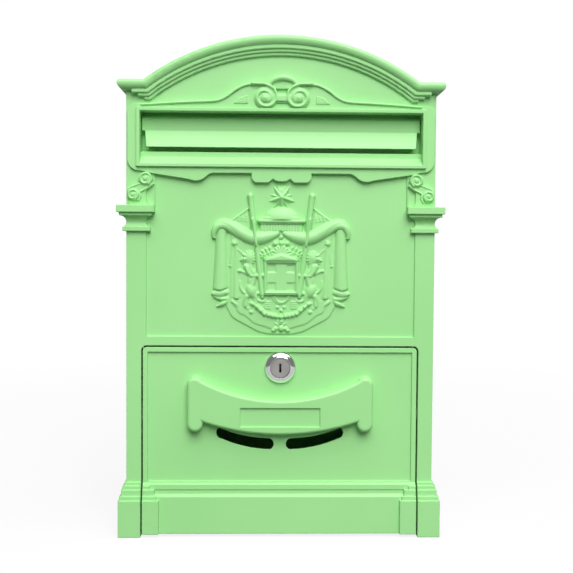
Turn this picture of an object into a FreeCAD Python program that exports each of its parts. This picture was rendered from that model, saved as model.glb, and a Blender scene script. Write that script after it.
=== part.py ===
import FreeCAD, Part

import math
import os
import re

import Sketcher

# Wall mounted post box: a cast front case with an arched cornice and two pilasters, a sheet back
# plate, a lifting slot flap, and a bottom hinged door that a cam lock holds shut.
# The frame stands on the underside of the plinth (Z up), X runs to the right as one faces the box,
# and the front faces -Y. Depths are counted from the wall, along -Y, so the wall is at depth 0.

V = FreeCAD.Vector
TURN_TO_X = FreeCAD.Rotation(V(0, 1, 0), 90)
TURN_TO_FRONT = FreeCAD.Rotation(V(1, 0, 0), 90)

SIZES = (
    # case
    ("wall_half", 126.6, "half width of the case over its side walls"),
    ("face_depth", 82.0, "depth of the plain face"),
    ("case_wall", 3.0, "thickness of the side walls, the arch and the floor"),
    ("face_wall", 3.5, "thickness of the cast face"),
    ("shelf_height", 374.0, "top of the level ends of the cornice"),
    ("arch_radius", 189.3, "radius of the arched top"),
    ("arch_centre", 221.4, "height of the centre of the arch"),
    ("cornice_half", 133.0, "half width over the tips of the cornice"),
    ("cornice_out", 8.0, "how far the cornice bead stands out of the face"),
    ("cornice_drop", 8.0, "height of the cornice bead"),
    ("cornice_round", 5.2, "radius under the cornice bead"),
    ("cornice_top_round", 2.4, "radius over the cornice bead"),
    ("ridge_pitch", 2.6, "height of each ridge below the bead"),
    ("ridge_step", 1.6, "how much less each ridge stands out than the one above it"),
    ("ridge_inset", 5.0, "how much shorter each ridge is than the one above it"),
    ("ridge_round", 1.1, "radius along the front edge of a ridge"),
    # pilasters
    ("shaft_inner", 110.5, "half distance between the two pilaster shafts"),
    ("panel_sink", 1.5, "depth of the sunk panels"),
    ("panel_bottom", 165.6, "lower edge of the sunk upper panel"),
    ("panel_neck", 104.0, "half width of the upper panel between the capitals"),
    ("bead_low", 251.9, "underside of the bead at the top of the shaft"),
    ("bead_high", 255.3, "top of that bead"),
    ("bead_out", 2.7, "how far the bead stands out"),
    ("neck_high", 264.6, "top of the hollow neck of the capital"),
    ("neck_out", 5.2, "how far the neck and the step on it stand out"),
    ("step_high", 267.2, "top of the step on the neck"),
    ("abacus_high", 272.8, "top of the capital"),
    ("abacus_out", 7.2, "how far the top slab of the capital stands out"),
    # plinth blocks
    ("base_out_low", 6.2, "how far the plinth block stands out"),
    ("base_out_torus", 5.2, "same for the moulding on the block"),
    ("base_out_cove", 3.8, "same for the hollow above it"),
    ("base_out_fillet", 2.8, "same for the small step above that"),
    ("base_out_lip", 1.4, "same for the lip under the shaft"),
    ("base_low", 30.3, "top of the plinth block"),
    ("base_torus", 33.7, "top of the moulding"),
    ("base_cove", 38.8, "top of the hollow"),
    ("base_fillet", 42.0, "top of the small step"),
    ("base_lip", 44.7, "top of the lip"),
    # letter slot
    ("frame_half", 118.2, "half width of the raised slot frame"),
    ("frame_bottom", 304.4, "underside of the slot frame"),
    ("frame_top", 352.2, "top of the slot frame"),
    ("frame_out", 4.0, "how far the slot frame stands out"),
    ("frame_rail", 2.8, "width of the rails of the frame"),
    ("sill_front", 2.5, "height of the flat front of the sill"),
    ("sill_high", 8.4, "height of the sill with its bevel"),
    ("ledge_high", 12.6, "height of the ledge behind the sill"),
    ("ledge_sink", 4.0, "depth of the ledge behind the plain face"),
    ("recess_sink", 13.6, "depth of the slot recess behind the plain face"),
    ("recess_wall", 3.0, "wall of the box behind the slot recess"),
    ("throat_half", 106.0, "half width of the letter opening"),
    ("throat_low", 323.0, "lower edge of the letter opening"),
    ("throat_high", 341.0, "upper edge of the letter opening"),
    ("surround_out", 2.0, "thickness of the raised plate around the slot frame"),
    ("volute_across", 13.6, "distance of the volutes from the middle"),
    ("volute_up", 8.2, "height of the volutes above the slot frame"),
    ("volute_radius", 8.7, "radius of a volute"),
    ("volute_eye", 3.4, "radius of the eye of a volute"),
    ("volute_out", 4.6, "how far a volute stands out"),
    ("scroll_out", 3.4, "how far the scroll brackets stand out"),
    # slot flap
    ("flap_half", 114.6, "half width of the flap"),
    ("flap_axis", 343.6, "height of the flap's hinge axis"),
    ("flap_axis_sink", 10.0, "depth of that axis behind the plain face"),
    ("flap_eye", 6.4, "diameter of the flap's hinge barrel"),
    ("flap_bend", 334.6, "height where the flap bends forward"),
    ("flap_low", 320.8, "lower edge of the flap"),
    ("flap_lip_high_half", 112.3, "half width of the flap's lip at the bend"),
    ("flap_lip_low_half", 110.4, "half width of the lip at its lower edge"),
    ("flap_sheet", 2.0, "thickness of the flap"),
    ("flap_back_sink", 8.8, "depth of the flap's upper back behind the plain face"),
    ("flap_lip_sink", 1.5, "depth of the flap's lower front edge behind the plain face"),
    ("flap_rod", 3.4, "diameter of the flap's hinge rod"),
    ("flap_rest_gap", 0.3, "gap between the flap's end webs and the recess"),
    # door
    ("door_half", 113.1, "half width of the door"),
    ("door_low", 2.4, "underside of the door"),
    ("door_high", 156.6, "top of the door"),
    ("door_gap", 1.4, "gap around the door"),
    ("door_corner", 3.0, "corner radius of the door"),
    ("door_wall", 3.5, "thickness of the door's rim"),
    ("door_rim", 6.5, "depth of the flange behind the door's edge"),
    ("door_rim_wall", 3.0, "thickness of that flange"),
    ("door_border", 3.9, "width of the door's flat border"),
    ("door_base_out", 3.5, "how far the door's own plinth stands out"),
    ("door_base_high", 34.9, "top of that plinth, with its bevel"),
    ("door_base_front", 33.1, "top of the plinth's flat front"),
    ("door_band_out", 1.5, "how far the band above the plinth stands out"),
    ("door_band_high", 42.9, "top of the band"),
    ("door_panel_low", 45.3, "lower edge of the door's sunk panel"),
    ("block_inner", 99.7, "half distance between the blocks at the ends of the door's plinth"),
    ("block_inner_torus", 101.5, "same at the moulding on the block"),
    ("block_inner_cove", 103.4, "same at the hollow"),
    ("block_inner_fillet", 107.2, "same at the small step"),
    ("pin_axis", 7.5, "height of the door's hinge axis"),
    ("pin_axis_out", 2.0, "distance of that axis in front of the plain face"),
    ("pin_size", 5.0, "diameter of the door's hinge pins"),
    ("pin_reach", 10.0, "how far a pin enters the door"),
    ("pin_flush", 0.5, "how far a pin's end stays inside the plinth block"),
    # plaque on the door
    ("plaque_out", 7.8, "how far the plaque stands out of the plain face"),
    ("plaque_roll", 76.3, "half width over the rolled ends of the plaque"),
    ("plaque_body", 63.3, "half width of the plaque between its rolls"),
    ("roll_low", 87.6, "lower end of the rolls"),
    ("roll_high", 132.8, "upper end of the rolls"),
    ("plaque_top_end", 130.8, "upper edge of the plaque at the rolls"),
    ("plaque_top_mid", 113.5, "upper edge of the plaque in the middle"),
    ("plaque_low_end", 96.8, "lower edge of the plaque at the rolls"),
    ("plaque_low_mid", 85.5, "lower edge of the plaque in the middle"),
    ("roll_round", 3.0, "radius along the front edge of the rolls"),
    ("plaque_round", 2.2, "radius along the upper and lower front edges of the plaque"),
    ("label_half", 32.8, "half width of the label recess"),
    ("label_low", 92.0, "lower edge of the label recess"),
    ("label_high", 107.6, "upper edge of the label recess"),
    ("label_sink", 1.4, "depth of the label recess"),
    ("window_outer", 51.9, "outer end of a viewing slot"),
    ("window_inner", 7.0, "inner end of a viewing slot"),
    ("window_outer_height", 84.6, "middle height of a viewing slot at its outer end"),
    ("window_inner_height", 76.8, "middle height of a viewing slot at its inner end"),
    ("window_tall", 10.5, "height of a viewing slot"),
    # lock
    ("lock_height", 139.8, "height of the lock's axis"),
    ("lock_flange", 23.0, "diameter of the lock's flange"),
    ("lock_flange_thick", 3.2, "thickness of the flange"),
    ("lock_bevel", 1.5, "bevel of the flange"),
    ("lock_barrel", 18.0, "diameter of the lock's barrel"),
    ("lock_flats", 15.6, "distance over the flats of the barrel"),
    ("lock_length", 18.0, "length of the barrel behind the flange"),
    ("plug_size", 14.0, "diameter of the lock's plug"),
    ("plug_face", 16.0, "diameter of the plug's face"),
    ("plug_face_thick", 1.4, "thickness of the plug's face"),
    ("key_wide", 1.9, "width of the keyway"),
    ("key_tall", 7.4, "height of the keyway"),
    ("key_deep", 16.0, "depth of the keyway"),
    ("tail_square", 7.0, "size of the plug's square tail"),
    ("wafer_thick", 1.0, "thickness of a wafer"),
    ("wafer_wide", 6.4, "width of a wafer"),
    ("wafer_tall", 13.0, "height of a wafer"),
    ("wafer_pitch", 2.6, "distance from one wafer to the next"),
    ("nut_flats", 23.0, "distance over the flats of the lock's nut"),
    ("nut_thick", 3.5, "thickness of the nut"),
    ("washer_size", 24.0, "diameter of the lock's washer"),
    ("washer_thick", 0.8, "thickness of the lock's washer"),
    ("stop_size", 15.0, "diameter of the stop washer"),
    ("stop_thick", 1.0, "thickness of the stop washer"),
    ("cam_thick", 1.5, "thickness of the cam"),
    ("cam_wide", 14.0, "width of the cam"),
    ("cam_reach", 26.0, "reach of the cam from the lock's axis"),
    ("spring_washer_size", 8.0, "diameter of the washer under the cam's screw"),
    ("spring_washer_thick", 0.8, "thickness of that washer"),
    ("cam_screw_size", 4.0, "thread diameter of the cam's screw"),
    ("cam_screw_length", 7.0, "length of that screw under its head"),
    # back plate and its screws
    ("plate_thick", 1.2, "thickness of the back plate"),
    ("plate_gap", 0.4, "gap around the back plate"),
    ("dimple_size", 8.8, "inner diameter of a screw dimple"),
    ("dimple_deep", 2.4, "depth of a screw dimple"),
    ("screw_across", 116.5, "distance of the back plate screws from the middle"),
    ("screw_low", 14.0, "height of the lower screws"),
    ("screw_mid", 190.0, "height of the middle screws"),
    ("screw_high", 361.0, "height of the upper screws"),
    ("boss_size", 9.0, "diameter of a screw boss"),
    ("screw_size", 4.0, "diameter of a back plate screw"),
    ("screw_head", 7.6, "diameter of its head"),
    ("screw_head_thick", 2.2, "thickness of its head"),
    ("screw_length", 12.0, "length of a screw under its head"),
    ("wall_hole", 7.0, "diameter of the holes for the wall screws"),
    ("wall_hole_across", 80.0, "distance of the wall holes from the middle"),
    ("wall_hole_low", 60.0, "height of the lower wall holes"),
    ("wall_hole_high", 320.0, "height of the upper wall holes"),
    # inside the case
    ("strike_low", 158.5, "underside of the strike rib above the door"),
    ("strike_high", 161.5, "top of the strike rib"),
    ("strike_half", 112.0, "half width of the strike rib"),
    ("cam_gap", 0.8, "gap between the cam and the strike rib"),
    ("stop_low", 96.0, "underside of the door's side stops"),
    ("stop_high", 104.0, "top of the door's side stops"),
    ("stop_inner", 108.0, "half distance between the side stops"),
    ("running_gap", 0.1, "clearance on the radius of pins and rods"),
    ("rest_gap", 0.3, "gap between pieces that meet when the door is shut"),
)

doc = FreeCAD.newDocument("post_box")
sheet = doc.addObject("Spreadsheet::Sheet", "dims")
for row, (name, value, meaning) in enumerate(SIZES, start=1):
    sheet.set(f"A{row}", name)
    sheet.set(f"B{row}", str(value))
    sheet.set(f"C{row}", meaning)
    sheet.setAlias(f"B{row}", name)
doc.recompute()

ALIASES = re.compile(r"\b(" + "|".join(name for name, _, _ in SIZES) + r")\b")

# Expressions that several pieces share.
MIDDLE = "(face_depth + cornice_out) / 2"
PANEL_FACE = "(face_depth - panel_sink)"
LOCK_SEAT = PANEL_FACE
BARREL_END = f"({LOCK_SEAT} - lock_length)"
CAM_FRONT = f"({BARREL_END} - stop_thick)"
CAM_BACK = f"({CAM_FRONT} - cam_thick)"
DOOR_BACK = "(face_depth - door_wall)"
FACE_BACK = "(face_depth - face_wall)"
RECESS_FLOOR = "(face_depth - recess_sink)"
FLAP_DEPTH = "(face_depth - flap_axis_sink)"
PIN_DEPTH = "(face_depth + pin_axis_out)"


def link(text):
    """The expression with each size name pointing at its cell."""
    return ALIASES.sub(r"dims.\1", str(text))


def size(text):
    """The value of an expression, in mm."""
    return float(sheet.evalExpression(link(text)))


def from_wall(depth):
    """Distance along -Y of a depth, in an object's own frame."""
    return f"({depth}) - {MIDDLE}"


PLANES = {"front": "XZ_Plane", "side": "YZ_Plane", "plan": "XY_Plane"}


def new_sketch(body, plane, name, offset="0"):
    """Sketch on one of the body's origin planes, moved along that plane's normal."""
    sketch = body.newObject("Sketcher::SketchObject", name)
    base = next(f for f in body.Origin.OriginFeatures if f.Role == PLANES[plane])
    sketch.AttachmentSupport = [(base, "")]
    sketch.MapMode = "FlatFace"
    sketch.setExpression("AttachmentOffset.Base.z", link(offset))
    return sketch


def front_sketch(body, name, depth):
    """Sketch seen from the front (across, up) at a depth; a pad from it grows outwards."""
    return new_sketch(body, "front", name, from_wall(depth))


def pin_point(sketch, edge, end, across, up):
    """Holds one end of an edge at a place given by two expressions."""
    for kind, text in (("DistanceX", across), ("DistanceY", up)):
        index = sketch.addConstraint(Sketcher.Constraint(kind, edge, end, size(text)))
        sketch.setExpression(f"Constraints[{index}]", link(text))


def outline(sketch, points):
    """Closed outline, anticlockwise. A point is (across, up) or (across, up, bulge): the bulge is
    the height of the arc that follows over half its chord, outward when positive."""
    edges = []
    for here, after in zip(points, points[1:] + points[:1]):
        start = V(size(here[0]), size(here[1]), 0)
        end = V(size(after[0]), size(after[1]), 0)
        bulge = here[2] if len(here) > 2 else 0
        if not bulge:
            edges.append((sketch.addGeometry(Part.LineSegment(start, end), False), 1, 2))
            continue
        chord = end - start
        radius = chord.Length * (1 + bulge * bulge) / (4 * abs(bulge))
        lift = radius - abs(bulge) * chord.Length / 2
        side = V(-chord.y, chord.x, 0).normalize() * (lift if bulge > 0 else -lift)
        centre = (start + end) * 0.5 + side
        first, last = (start, end) if bulge > 0 else (end, start)
        angles = [V(1, 0, 0).getAngle(p - centre) * (1 if p.y >= centre.y else -1) for p in (first, last)]
        if angles[1] < angles[0]:
            angles[1] += math.tau
        arc = Part.ArcOfCircle(Part.Circle(centre, V(0, 0, 1), radius), *angles)
        index = sketch.addGeometry(arc, False)
        edges.append((index, 1, 2) if bulge > 0 else (index, 2, 1))
        run = f"({after[0]}) - ({here[0]})"
        rise = f"({after[1]}) - ({here[1]})"
        factor = (1 + bulge * bulge) / (4 * abs(bulge))
        if abs(bulge) < 1:
            held = sketch.addConstraint(Sketcher.Constraint("Radius", index, radius))
            sketch.setExpression(f"Constraints[{held}]", link(f"hypot({run}; {rise}) * {factor}"))
            continue
        axis = 0 if abs(chord.x) < abs(chord.y) else 1
        kind = ("DistanceX", "DistanceY")[axis]
        held = sketch.addConstraint(Sketcher.Constraint(kind, index, 3, centre[axis]))
        sketch.setExpression(f"Constraints[{held}]", link(f"(({here[axis]}) + ({after[axis]})) / 2"))
    for (edge, begin, finish), (following, follow_begin, _), point in zip(
        edges, edges[1:] + edges[:1], points[1:] + points[:1]
    ):
        sketch.addConstraint(Sketcher.Constraint("Coincident", edge, finish, following, follow_begin))
        pin_point(sketch, following, follow_begin, point[0], point[1])


def box_outline(sketch, left, right, low, high):
    """Rectangle given by four expressions."""
    outline(sketch, [(left, low), (right, low), (right, high), (left, high)])


def circle(sketch, across, up, diameter):
    """Circle given by expressions for its centre and its diameter."""
    ring = Part.Circle(V(size(across), size(up), 0), V(0, 0, 1), size(diameter) / 2)
    index = sketch.addGeometry(ring, False)
    pin_point(sketch, index, 3, across, up)
    held = sketch.addConstraint(Sketcher.Constraint("Diameter", index, size(diameter)))
    sketch.setExpression(f"Constraints[{held}]", link(diameter))


def mirrored(points):
    """The same outline on the other side of the middle, still anticlockwise."""
    bulges = [point[2] if len(point) > 2 else 0 for point in points]
    flipped = [(f"-({point[0]})", point[1]) for point in points]
    flipped.reverse()
    shifted = bulges[-2::-1] + bulges[-1:]
    return [(point[0], point[1], bulge) for point, bulge in zip(flipped, shifted)]


def both_sides(sketch, points):
    """An outline and its mirror image."""
    outline(sketch, points)
    outline(sketch, mirrored(points))


def whole(half):
    """Closed outline from its right half, listed from the lower middle to the upper middle."""
    left = mirrored(half)
    if size(half[0][0]) == 0:
        left = left[:-1]
    if size(half[-1][0]) == 0:
        half, left = half[:-1] + [(half[-1][0], half[-1][1], half[-1][2])], left[1:]
    return half + left


def pad(body, sketch, length, symmetric=False, inward=False):
    """Material from a sketch, over a length."""
    feature = body.newObject("PartDesign::Pad", sketch.Name + "_pad")
    feature.Profile = sketch
    feature.setExpression("Length", link(length))
    feature.Reversed = inward
    if symmetric:
        feature.SideType = "Symmetric"
    sketch.Visibility = False
    return feature


def pocket(body, sketch, length, outward=False, symmetric=False):
    """Cut from a sketch over a length, and a test that it cuts."""
    doc.recompute()
    before = body.Tip.Shape.Volume
    feature = body.newObject("PartDesign::Pocket", sketch.Name + "_cut")
    feature.Profile = sketch
    feature.setExpression("Length", link(length))
    feature.Reversed = outward
    if symmetric:
        feature.SideType = "Symmetric"
    doc.recompute()
    if not feature.Shape.Volume < before:
        raise ValueError(f"{feature.Name} cuts nothing")
    return feature


def dress(body, kind, name, extent, chosen):
    """Fillet or chamfer on the edges of the body so far that the test picks."""
    doc.recompute()
    base = body.Tip
    names = [f"Edge{i}" for i, edge in enumerate(base.Shape.Edges, start=1) if chosen(edge)]
    if not names:
        raise ValueError(f"{name} has no edge")
    feature = body.newObject(f"PartDesign::{kind}", name)
    feature.Base = (base, names)
    feature.setExpression("Radius" if kind == "Fillet" else "Size", link(extent))
    return feature


def soften(body, name, radius, chosen):
    """Rounds the edges of the body so far that the test picks."""
    return dress(body, "Fillet", name, radius, chosen)


def new_body(label):
    """Body named after the piece."""
    body = doc.addObject("PartDesign::Body", label)
    body.Label = label
    return body


def near(value, wanted, room=0.01):
    """True where two lengths agree."""
    return abs(value - wanted) < room


def arch_path(inset, end):
    """Upper boundary of the case moved inwards: (corner across, level, radius, end across)."""
    level = f"(shelf_height - ({inset}))"
    radius = f"(arch_radius - ({inset}))"
    corner = f"sqrt({radius} * {radius} - ({level} - arch_centre) * ({level} - arch_centre))"
    return corner, level, radius, end


def arch_bulge(corner, radius):
    """Bulge of the arc over the arch from corner to corner."""
    half, full = size(corner), size(radius)
    return (full - (full * full - half * half) ** 0.5) / half


def arched(inset, end, low):
    """Outline with the arched top, level shoulders out to an end, and a flat bottom."""
    corner, level, radius, end = arch_path(inset, end)
    return [
        (f"-({end})", low),
        (end, low),
        (end, level),
        (corner, level, arch_bulge(corner, radius)),
        (f"-({corner})", level),
        (f"-({end})", level),
    ]


def arched_band(inset_top, inset_low, end):
    """Band under the arched top, between two insets."""
    corner, level, radius, end = arch_path(inset_low, end)
    top_corner, top_level, top_radius, _ = arch_path(inset_top, end)
    return [
        (f"-({end})", level),
        (f"-({corner})", level, -arch_bulge(corner, radius)),
        (corner, level),
        (end, level),
        (end, top_level),
        (top_corner, top_level, arch_bulge(top_corner, top_radius)),
        (f"-({top_corner})", top_level),
        (f"-({end})", top_level),
    ]


# Front casting: shell, cornice, pilasters, plinth blocks, slot frame and the inner bosses.

case = new_body("plain_casting")

shell = front_sketch(case, "shell_outline", "0")
outline(shell, arched("0", "wall_half", "0"))
pad(case, shell, "face_depth")

bead = front_sketch(case, "cornice_bead", "0")
outline(bead, arched_band("0", "cornice_drop", "cornice_half"))
pad(case, bead, "face_depth + cornice_out")


def under_bead(edge):
    """The bead's lower front edges and its lower edges along the two sides."""
    box = edge.BoundBox
    bead_front = near(size(MIDDLE) - box.YMax, size("face_depth + cornice_out"))
    lower = box.ZMax < size("arch_centre + arch_radius - cornice_drop") + 0.1
    low_front = bead_front and near(box.YLength, 0) and lower and not near(box.ZLength, size("cornice_drop"))
    tip = near(abs(box.Center.x), size("cornice_half")) and near(box.ZLength, 0)
    low_side = tip and near(box.ZMax, size("shelf_height - cornice_drop"))
    return (low_front and not near(box.ZMin, size("shelf_height"))) or low_side


soften(case, "cornice_under_round", "cornice_round", under_bead)


def over_bead(edge):
    """The bead's upper front edges and its upper edges along the two sides."""
    box = edge.BoundBox
    front = near(size(MIDDLE) - box.YMax, size("face_depth + cornice_out")) and near(box.YLength, 0)
    side = near(abs(box.Center.x), size("cornice_half")) and near(box.ZMin, size("shelf_height"))
    return (front and box.ZMin > size("shelf_height") - 0.01) or side


soften(case, "cornice_over_round", "cornice_top_round", over_bead)

for count in (1, 2, 3):
    low = f"cornice_drop + {count} * ridge_pitch"
    high = f"cornice_drop + {count - 1} * ridge_pitch - 0.5"
    reach = f"wall_half - {count} * ridge_inset"
    out = f"cornice_out - 1 - {count} * ridge_step"
    ridge = front_sketch(case, f"cornice_ridge_{count}", "face_depth - 1")
    outline(ridge, arched_band(high, low, reach))
    pad(case, ridge, f"1 + {out}")

    def ridge_front(edge, level=f"shelf_height - ({low})", out=out):
        """The lower front edges of this ridge."""
        box = edge.BoundBox
        at_front = near(size(MIDDLE) - box.YMax, size(f"face_depth + {out}")) and near(box.YLength, 0)
        level_edge = near(box.ZLength, 0) and near(box.ZMax, size(level))
        return at_front and (level_edge or (near(box.ZMin, size(level)) and box.XLength > size("wall_half")))

    soften(case, f"cornice_ridge_round_{count}", "ridge_round", ridge_front)

panel = front_sketch(case, "upper_panel", "face_depth")
outline(
    panel,
    whole(
        [
            ("0", "panel_bottom"),
            ("shaft_inner", "panel_bottom"),
            ("shaft_inner", "step_high"),
            ("panel_neck", "step_high"),
            ("panel_neck", "frame_bottom"),
            ("0", "frame_bottom", 0),
        ]
    ),
)
pocket(case, panel, "panel_sink")


def moulding(name, low, high, out, inner):
    """Step of a pilaster: a block round the outer corner of the case, on both sides."""
    sketch = front_sketch(case, name, "0")
    side = f"wall_half + {out}"
    both_sides(sketch, [(inner, low), (side, low), (side, high), (inner, high)])
    pad(case, sketch, f"face_depth + {out}")


# Capitals. The neck is hollowed along the front and along the sides before the bead goes on.
moulding("capital_neck", "bead_high", "step_high", "neck_out", "shaft_inner - neck_out")
side_hollow = front_sketch(case, "neck_side_hollow", "0")
inner_hollow = front_sketch(case, "neck_inner_hollow", "face_depth - panel_sink")
for sign in ("", "-"):
    circle(side_hollow, f"{sign}(wall_half + neck_out)", "neck_high - neck_out", "2 * neck_out")
    circle(inner_hollow, f"{sign}(shaft_inner - neck_out)", "neck_high - neck_out", "2 * neck_out")
pocket(case, side_hollow, "face_depth + neck_out + 1", outward=True)
pocket(case, inner_hollow, "panel_sink + neck_out + 1", outward=True)
front_hollow = new_sketch(case, "side", "neck_front_hollow")
circle(front_hollow, f"-({from_wall('face_depth + neck_out')})", "neck_high - neck_out", "2 * neck_out")
pocket(case, front_hollow, "2 * (wall_half + neck_out) + 2", symmetric=True)
moulding("capital_bead", "bead_low", "bead_high", "bead_out", "shaft_inner - bead_out - 1")
moulding("capital_abacus", "step_high", "abacus_high", "abacus_out", "shaft_inner - abacus_out")

# Plinth blocks, cut by the door opening further down.
moulding("base_block", "0", "base_low", "base_out_low", "door_half - 1")
moulding("base_torus", "base_low", "base_torus", "base_out_torus", "door_half - 1")
moulding("base_cove", "base_torus", "base_cove", "base_out_cove", "door_half - 1")
moulding("base_fillet", "base_cove", "base_fillet", "base_out_fillet", "door_half - 1")
moulding("base_lip", "base_fillet", "base_lip", "base_out_lip", "door_half - 1")

# Raised plate round the slot, with a scalloped apron below and shoulders up to the volutes.
surround = front_sketch(case, "slot_surround", "face_depth - panel_sink - 1")
SURROUND_HALF = [
    ("0", "frame_bottom - 11.3", 0.2),
    ("7", "frame_bottom - 9.1"),
    ("10.5", "frame_bottom - 12.2"),
    ("20.8", "frame_bottom - 12.2", 0.45),
    ("24.1", "frame_bottom - 4.7"),
    ("53.5", "frame_bottom - 4.7", -0.25),
    ("62", "frame_bottom - 8.1", 0.3),
    ("75", "frame_bottom - 10.1"),
    ("109.5", "frame_bottom - 4.9", -0.1),
    ("wall_half - 8", "frame_bottom - 3.1", 0.35),
    ("wall_half - 1", "frame_bottom + 6.9"),
    ("wall_half - 1", "frame_top - 5", 0.4),
    ("wall_half - 8", "frame_top + 3"),
    ("66.6", "frame_top + 5.8", -0.12),
    ("44", "frame_top + 9.5", -0.1),
    ("33", "frame_top + 16.5", 0.3),
    ("14.8", "frame_top + 19.7", 0.3),
    ("4.1", "frame_top + 10.1"),
]
outline(surround, whole(SURROUND_HALF))
pad(case, surround, "panel_sink + 1 + surround_out")

rim = front_sketch(case, "slot_frame", "face_depth - 1")
box_outline(rim, "-frame_half", "frame_half", "frame_bottom", "frame_top")
pad(case, rim, "1 + frame_out")

VOLUTE_HEIGHT = "(frame_top + volute_up)"
volute = front_sketch(case, "volutes", "face_depth - 1")
for sign in ("", "-"):
    circle(volute, f"{sign}volute_across", VOLUTE_HEIGHT, "2 * volute_radius")
pad(case, volute, "1 + volute_out - 1.2")
bar = front_sketch(case, "volute_bar", "face_depth - 1")
box_outline(bar, "-volute_across", "volute_across", f"{VOLUTE_HEIGHT} - 4", f"{VOLUTE_HEIGHT} + 3.6")
pad(case, bar, "1 + volute_out - 1.8")
grooves = front_sketch(case, "volute_grooves", "face_depth + volute_out - 2.2")
for sign in ("", "-"):
    circle(grooves, f"{sign}volute_across", VOLUTE_HEIGHT, "1.54 * volute_radius")
    circle(grooves, f"{sign}volute_across", VOLUTE_HEIGHT, "volute_eye + 1")
pocket(case, grooves, "volute_out", outward=True)
eyes = front_sketch(case, "volute_eyes", "face_depth")
for sign in ("", "-"):
    circle(eyes, f"{sign}volute_across", VOLUTE_HEIGHT, "2 * volute_eye")
pad(case, eyes, "volute_out")
cap = front_sketch(case, "volute_cap", "face_depth - 1")
outline(
    cap,
    [
        ("-volute_across", "frame_top + 16"),
        ("volute_across", "frame_top + 16"),
        ("volute_across", "frame_top + 20.3", 0.4),
        ("-volute_across", "frame_top + 20.3"),
    ],
)
pad(case, cap, "1 + volute_out - 2.4")

# Scroll brackets over the capitals: two volutes on a curved stem.
scroll = front_sketch(case, "scroll_stems", "face_depth - 1")
both_sides(
    scroll,
    [
        ("shaft_inner - 2", "abacus_high - 1"),
        ("wall_half - 2", "abacus_high - 1"),
        ("wall_half - 3", "abacus_high + 12", -0.35),
        ("shaft_inner + 5.6", "abacus_high + 23"),
        ("shaft_inner - 2", "abacus_high + 18", -0.2),
    ],
)
pad(case, scroll, "1 + scroll_out - 1.4")
curl = front_sketch(case, "scroll_volutes", "face_depth - 1")
for sign in ("", "-"):
    circle(curl, f"{sign}(shaft_inner + 0.5)", "abacus_high + 21.7", "10.4")
    circle(curl, f"{sign}(wall_half - 5.8)", "abacus_high + 8.7", "9")
pad(case, curl, "1 + scroll_out")
curl_grooves = front_sketch(case, "scroll_grooves", "face_depth + scroll_out - 0.9")
for sign in ("", "-"):
    for across, up, outer in (("(shaft_inner + 0.5)", "21.7", 7.4), ("(wall_half - 5.8)", "8.7", 6.2)):
        circle(curl_grooves, f"{sign}{across}", f"abacus_high + {up}", outer)
        circle(curl_grooves, f"{sign}{across}", f"abacus_high + {up}", outer / 2)
pocket(case, curl_grooves, "2", outward=True)

# Hollow of the case, and the box behind the letter slot.
hollow = front_sketch(case, "case_hollow", "0")
outline(hollow, arched("case_wall", "wall_half - case_wall", "case_wall"))
pocket(case, hollow, FACE_BACK, outward=True)

throat_box = front_sketch(case, "slot_box", f"{RECESS_FLOOR} - recess_wall")
box_outline(
    throat_box,
    "-(frame_half - frame_rail + recess_wall)",
    "frame_half - frame_rail + recess_wall",
    "frame_bottom + sill_high - recess_wall",
    "frame_top - frame_rail + recess_wall",
)
pad(case, throat_box, "recess_sink + recess_wall - 1")

recess = front_sketch(case, "slot_recess", RECESS_FLOOR)
box_outline(
    recess,
    "-(frame_half - frame_rail)",
    "frame_half - frame_rail",
    "frame_bottom + ledge_high",
    "frame_top - frame_rail",
)
pocket(case, recess, "recess_sink + frame_out + 1", outward=True)
ledge = new_sketch(case, "side", "sill_profile")
outline(
    ledge,
    [
        (f"-({from_wall('face_depth - ledge_sink')})", "frame_bottom + sill_high"),
        (f"-({from_wall('face_depth - ledge_sink')})", "frame_bottom + ledge_high + 1"),
        (f"-({from_wall('face_depth + frame_out + 1')})", "frame_bottom + ledge_high + 1"),
        (f"-({from_wall('face_depth + frame_out + 1')})", "frame_bottom + sill_front"),
        (f"-({from_wall('face_depth + frame_out')})", "frame_bottom + sill_front"),
    ][::-1],
)
pocket(case, ledge, "2 * (frame_half - frame_rail)", symmetric=True)
throat = front_sketch(case, "letter_opening", f"{RECESS_FLOOR} - recess_wall - 1")
box_outline(throat, "-throat_half", "throat_half", "throat_low", "throat_high")
pocket(case, throat, "recess_wall + 2", outward=True)

# Opening for the door, its strike rib and its side stops.
opening = front_sketch(case, "door_opening", f"{DOOR_BACK} - rest_gap - 2")
outline(
    opening,
    [
        ("-(door_half + door_gap)", "-1"),
        ("door_half + door_gap", "-1"),
        ("door_half + door_gap", "door_high - door_corner", 0.41421),
        ("door_half - door_corner", "door_high + door_gap"),
        ("-(door_half - door_corner)", "door_high + door_gap", 0.41421),
        ("-(door_half + door_gap)", "door_high - door_corner"),
    ],
)
pocket(case, opening, "door_wall + rest_gap + 2 + base_out_low + 1", outward=True)

strike = front_sketch(case, "strike_rib", f"{CAM_FRONT} + cam_gap")
box_outline(strike, "-strike_half", "strike_half", "strike_low", "strike_high")
pad(case, strike, f"{FACE_BACK} + 1 - ({CAM_FRONT} + cam_gap)")
stops = front_sketch(case, "side_stops", f"{DOOR_BACK} - door_rim - rest_gap - 6")
both_sides(
    stops,
    [
        ("stop_inner", "stop_low"),
        ("wall_half - case_wall + 1", "stop_low"),
        ("wall_half - case_wall + 1", "stop_high"),
        ("stop_inner", "stop_high"),
    ],
)
pad(case, stops, "6")

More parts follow.
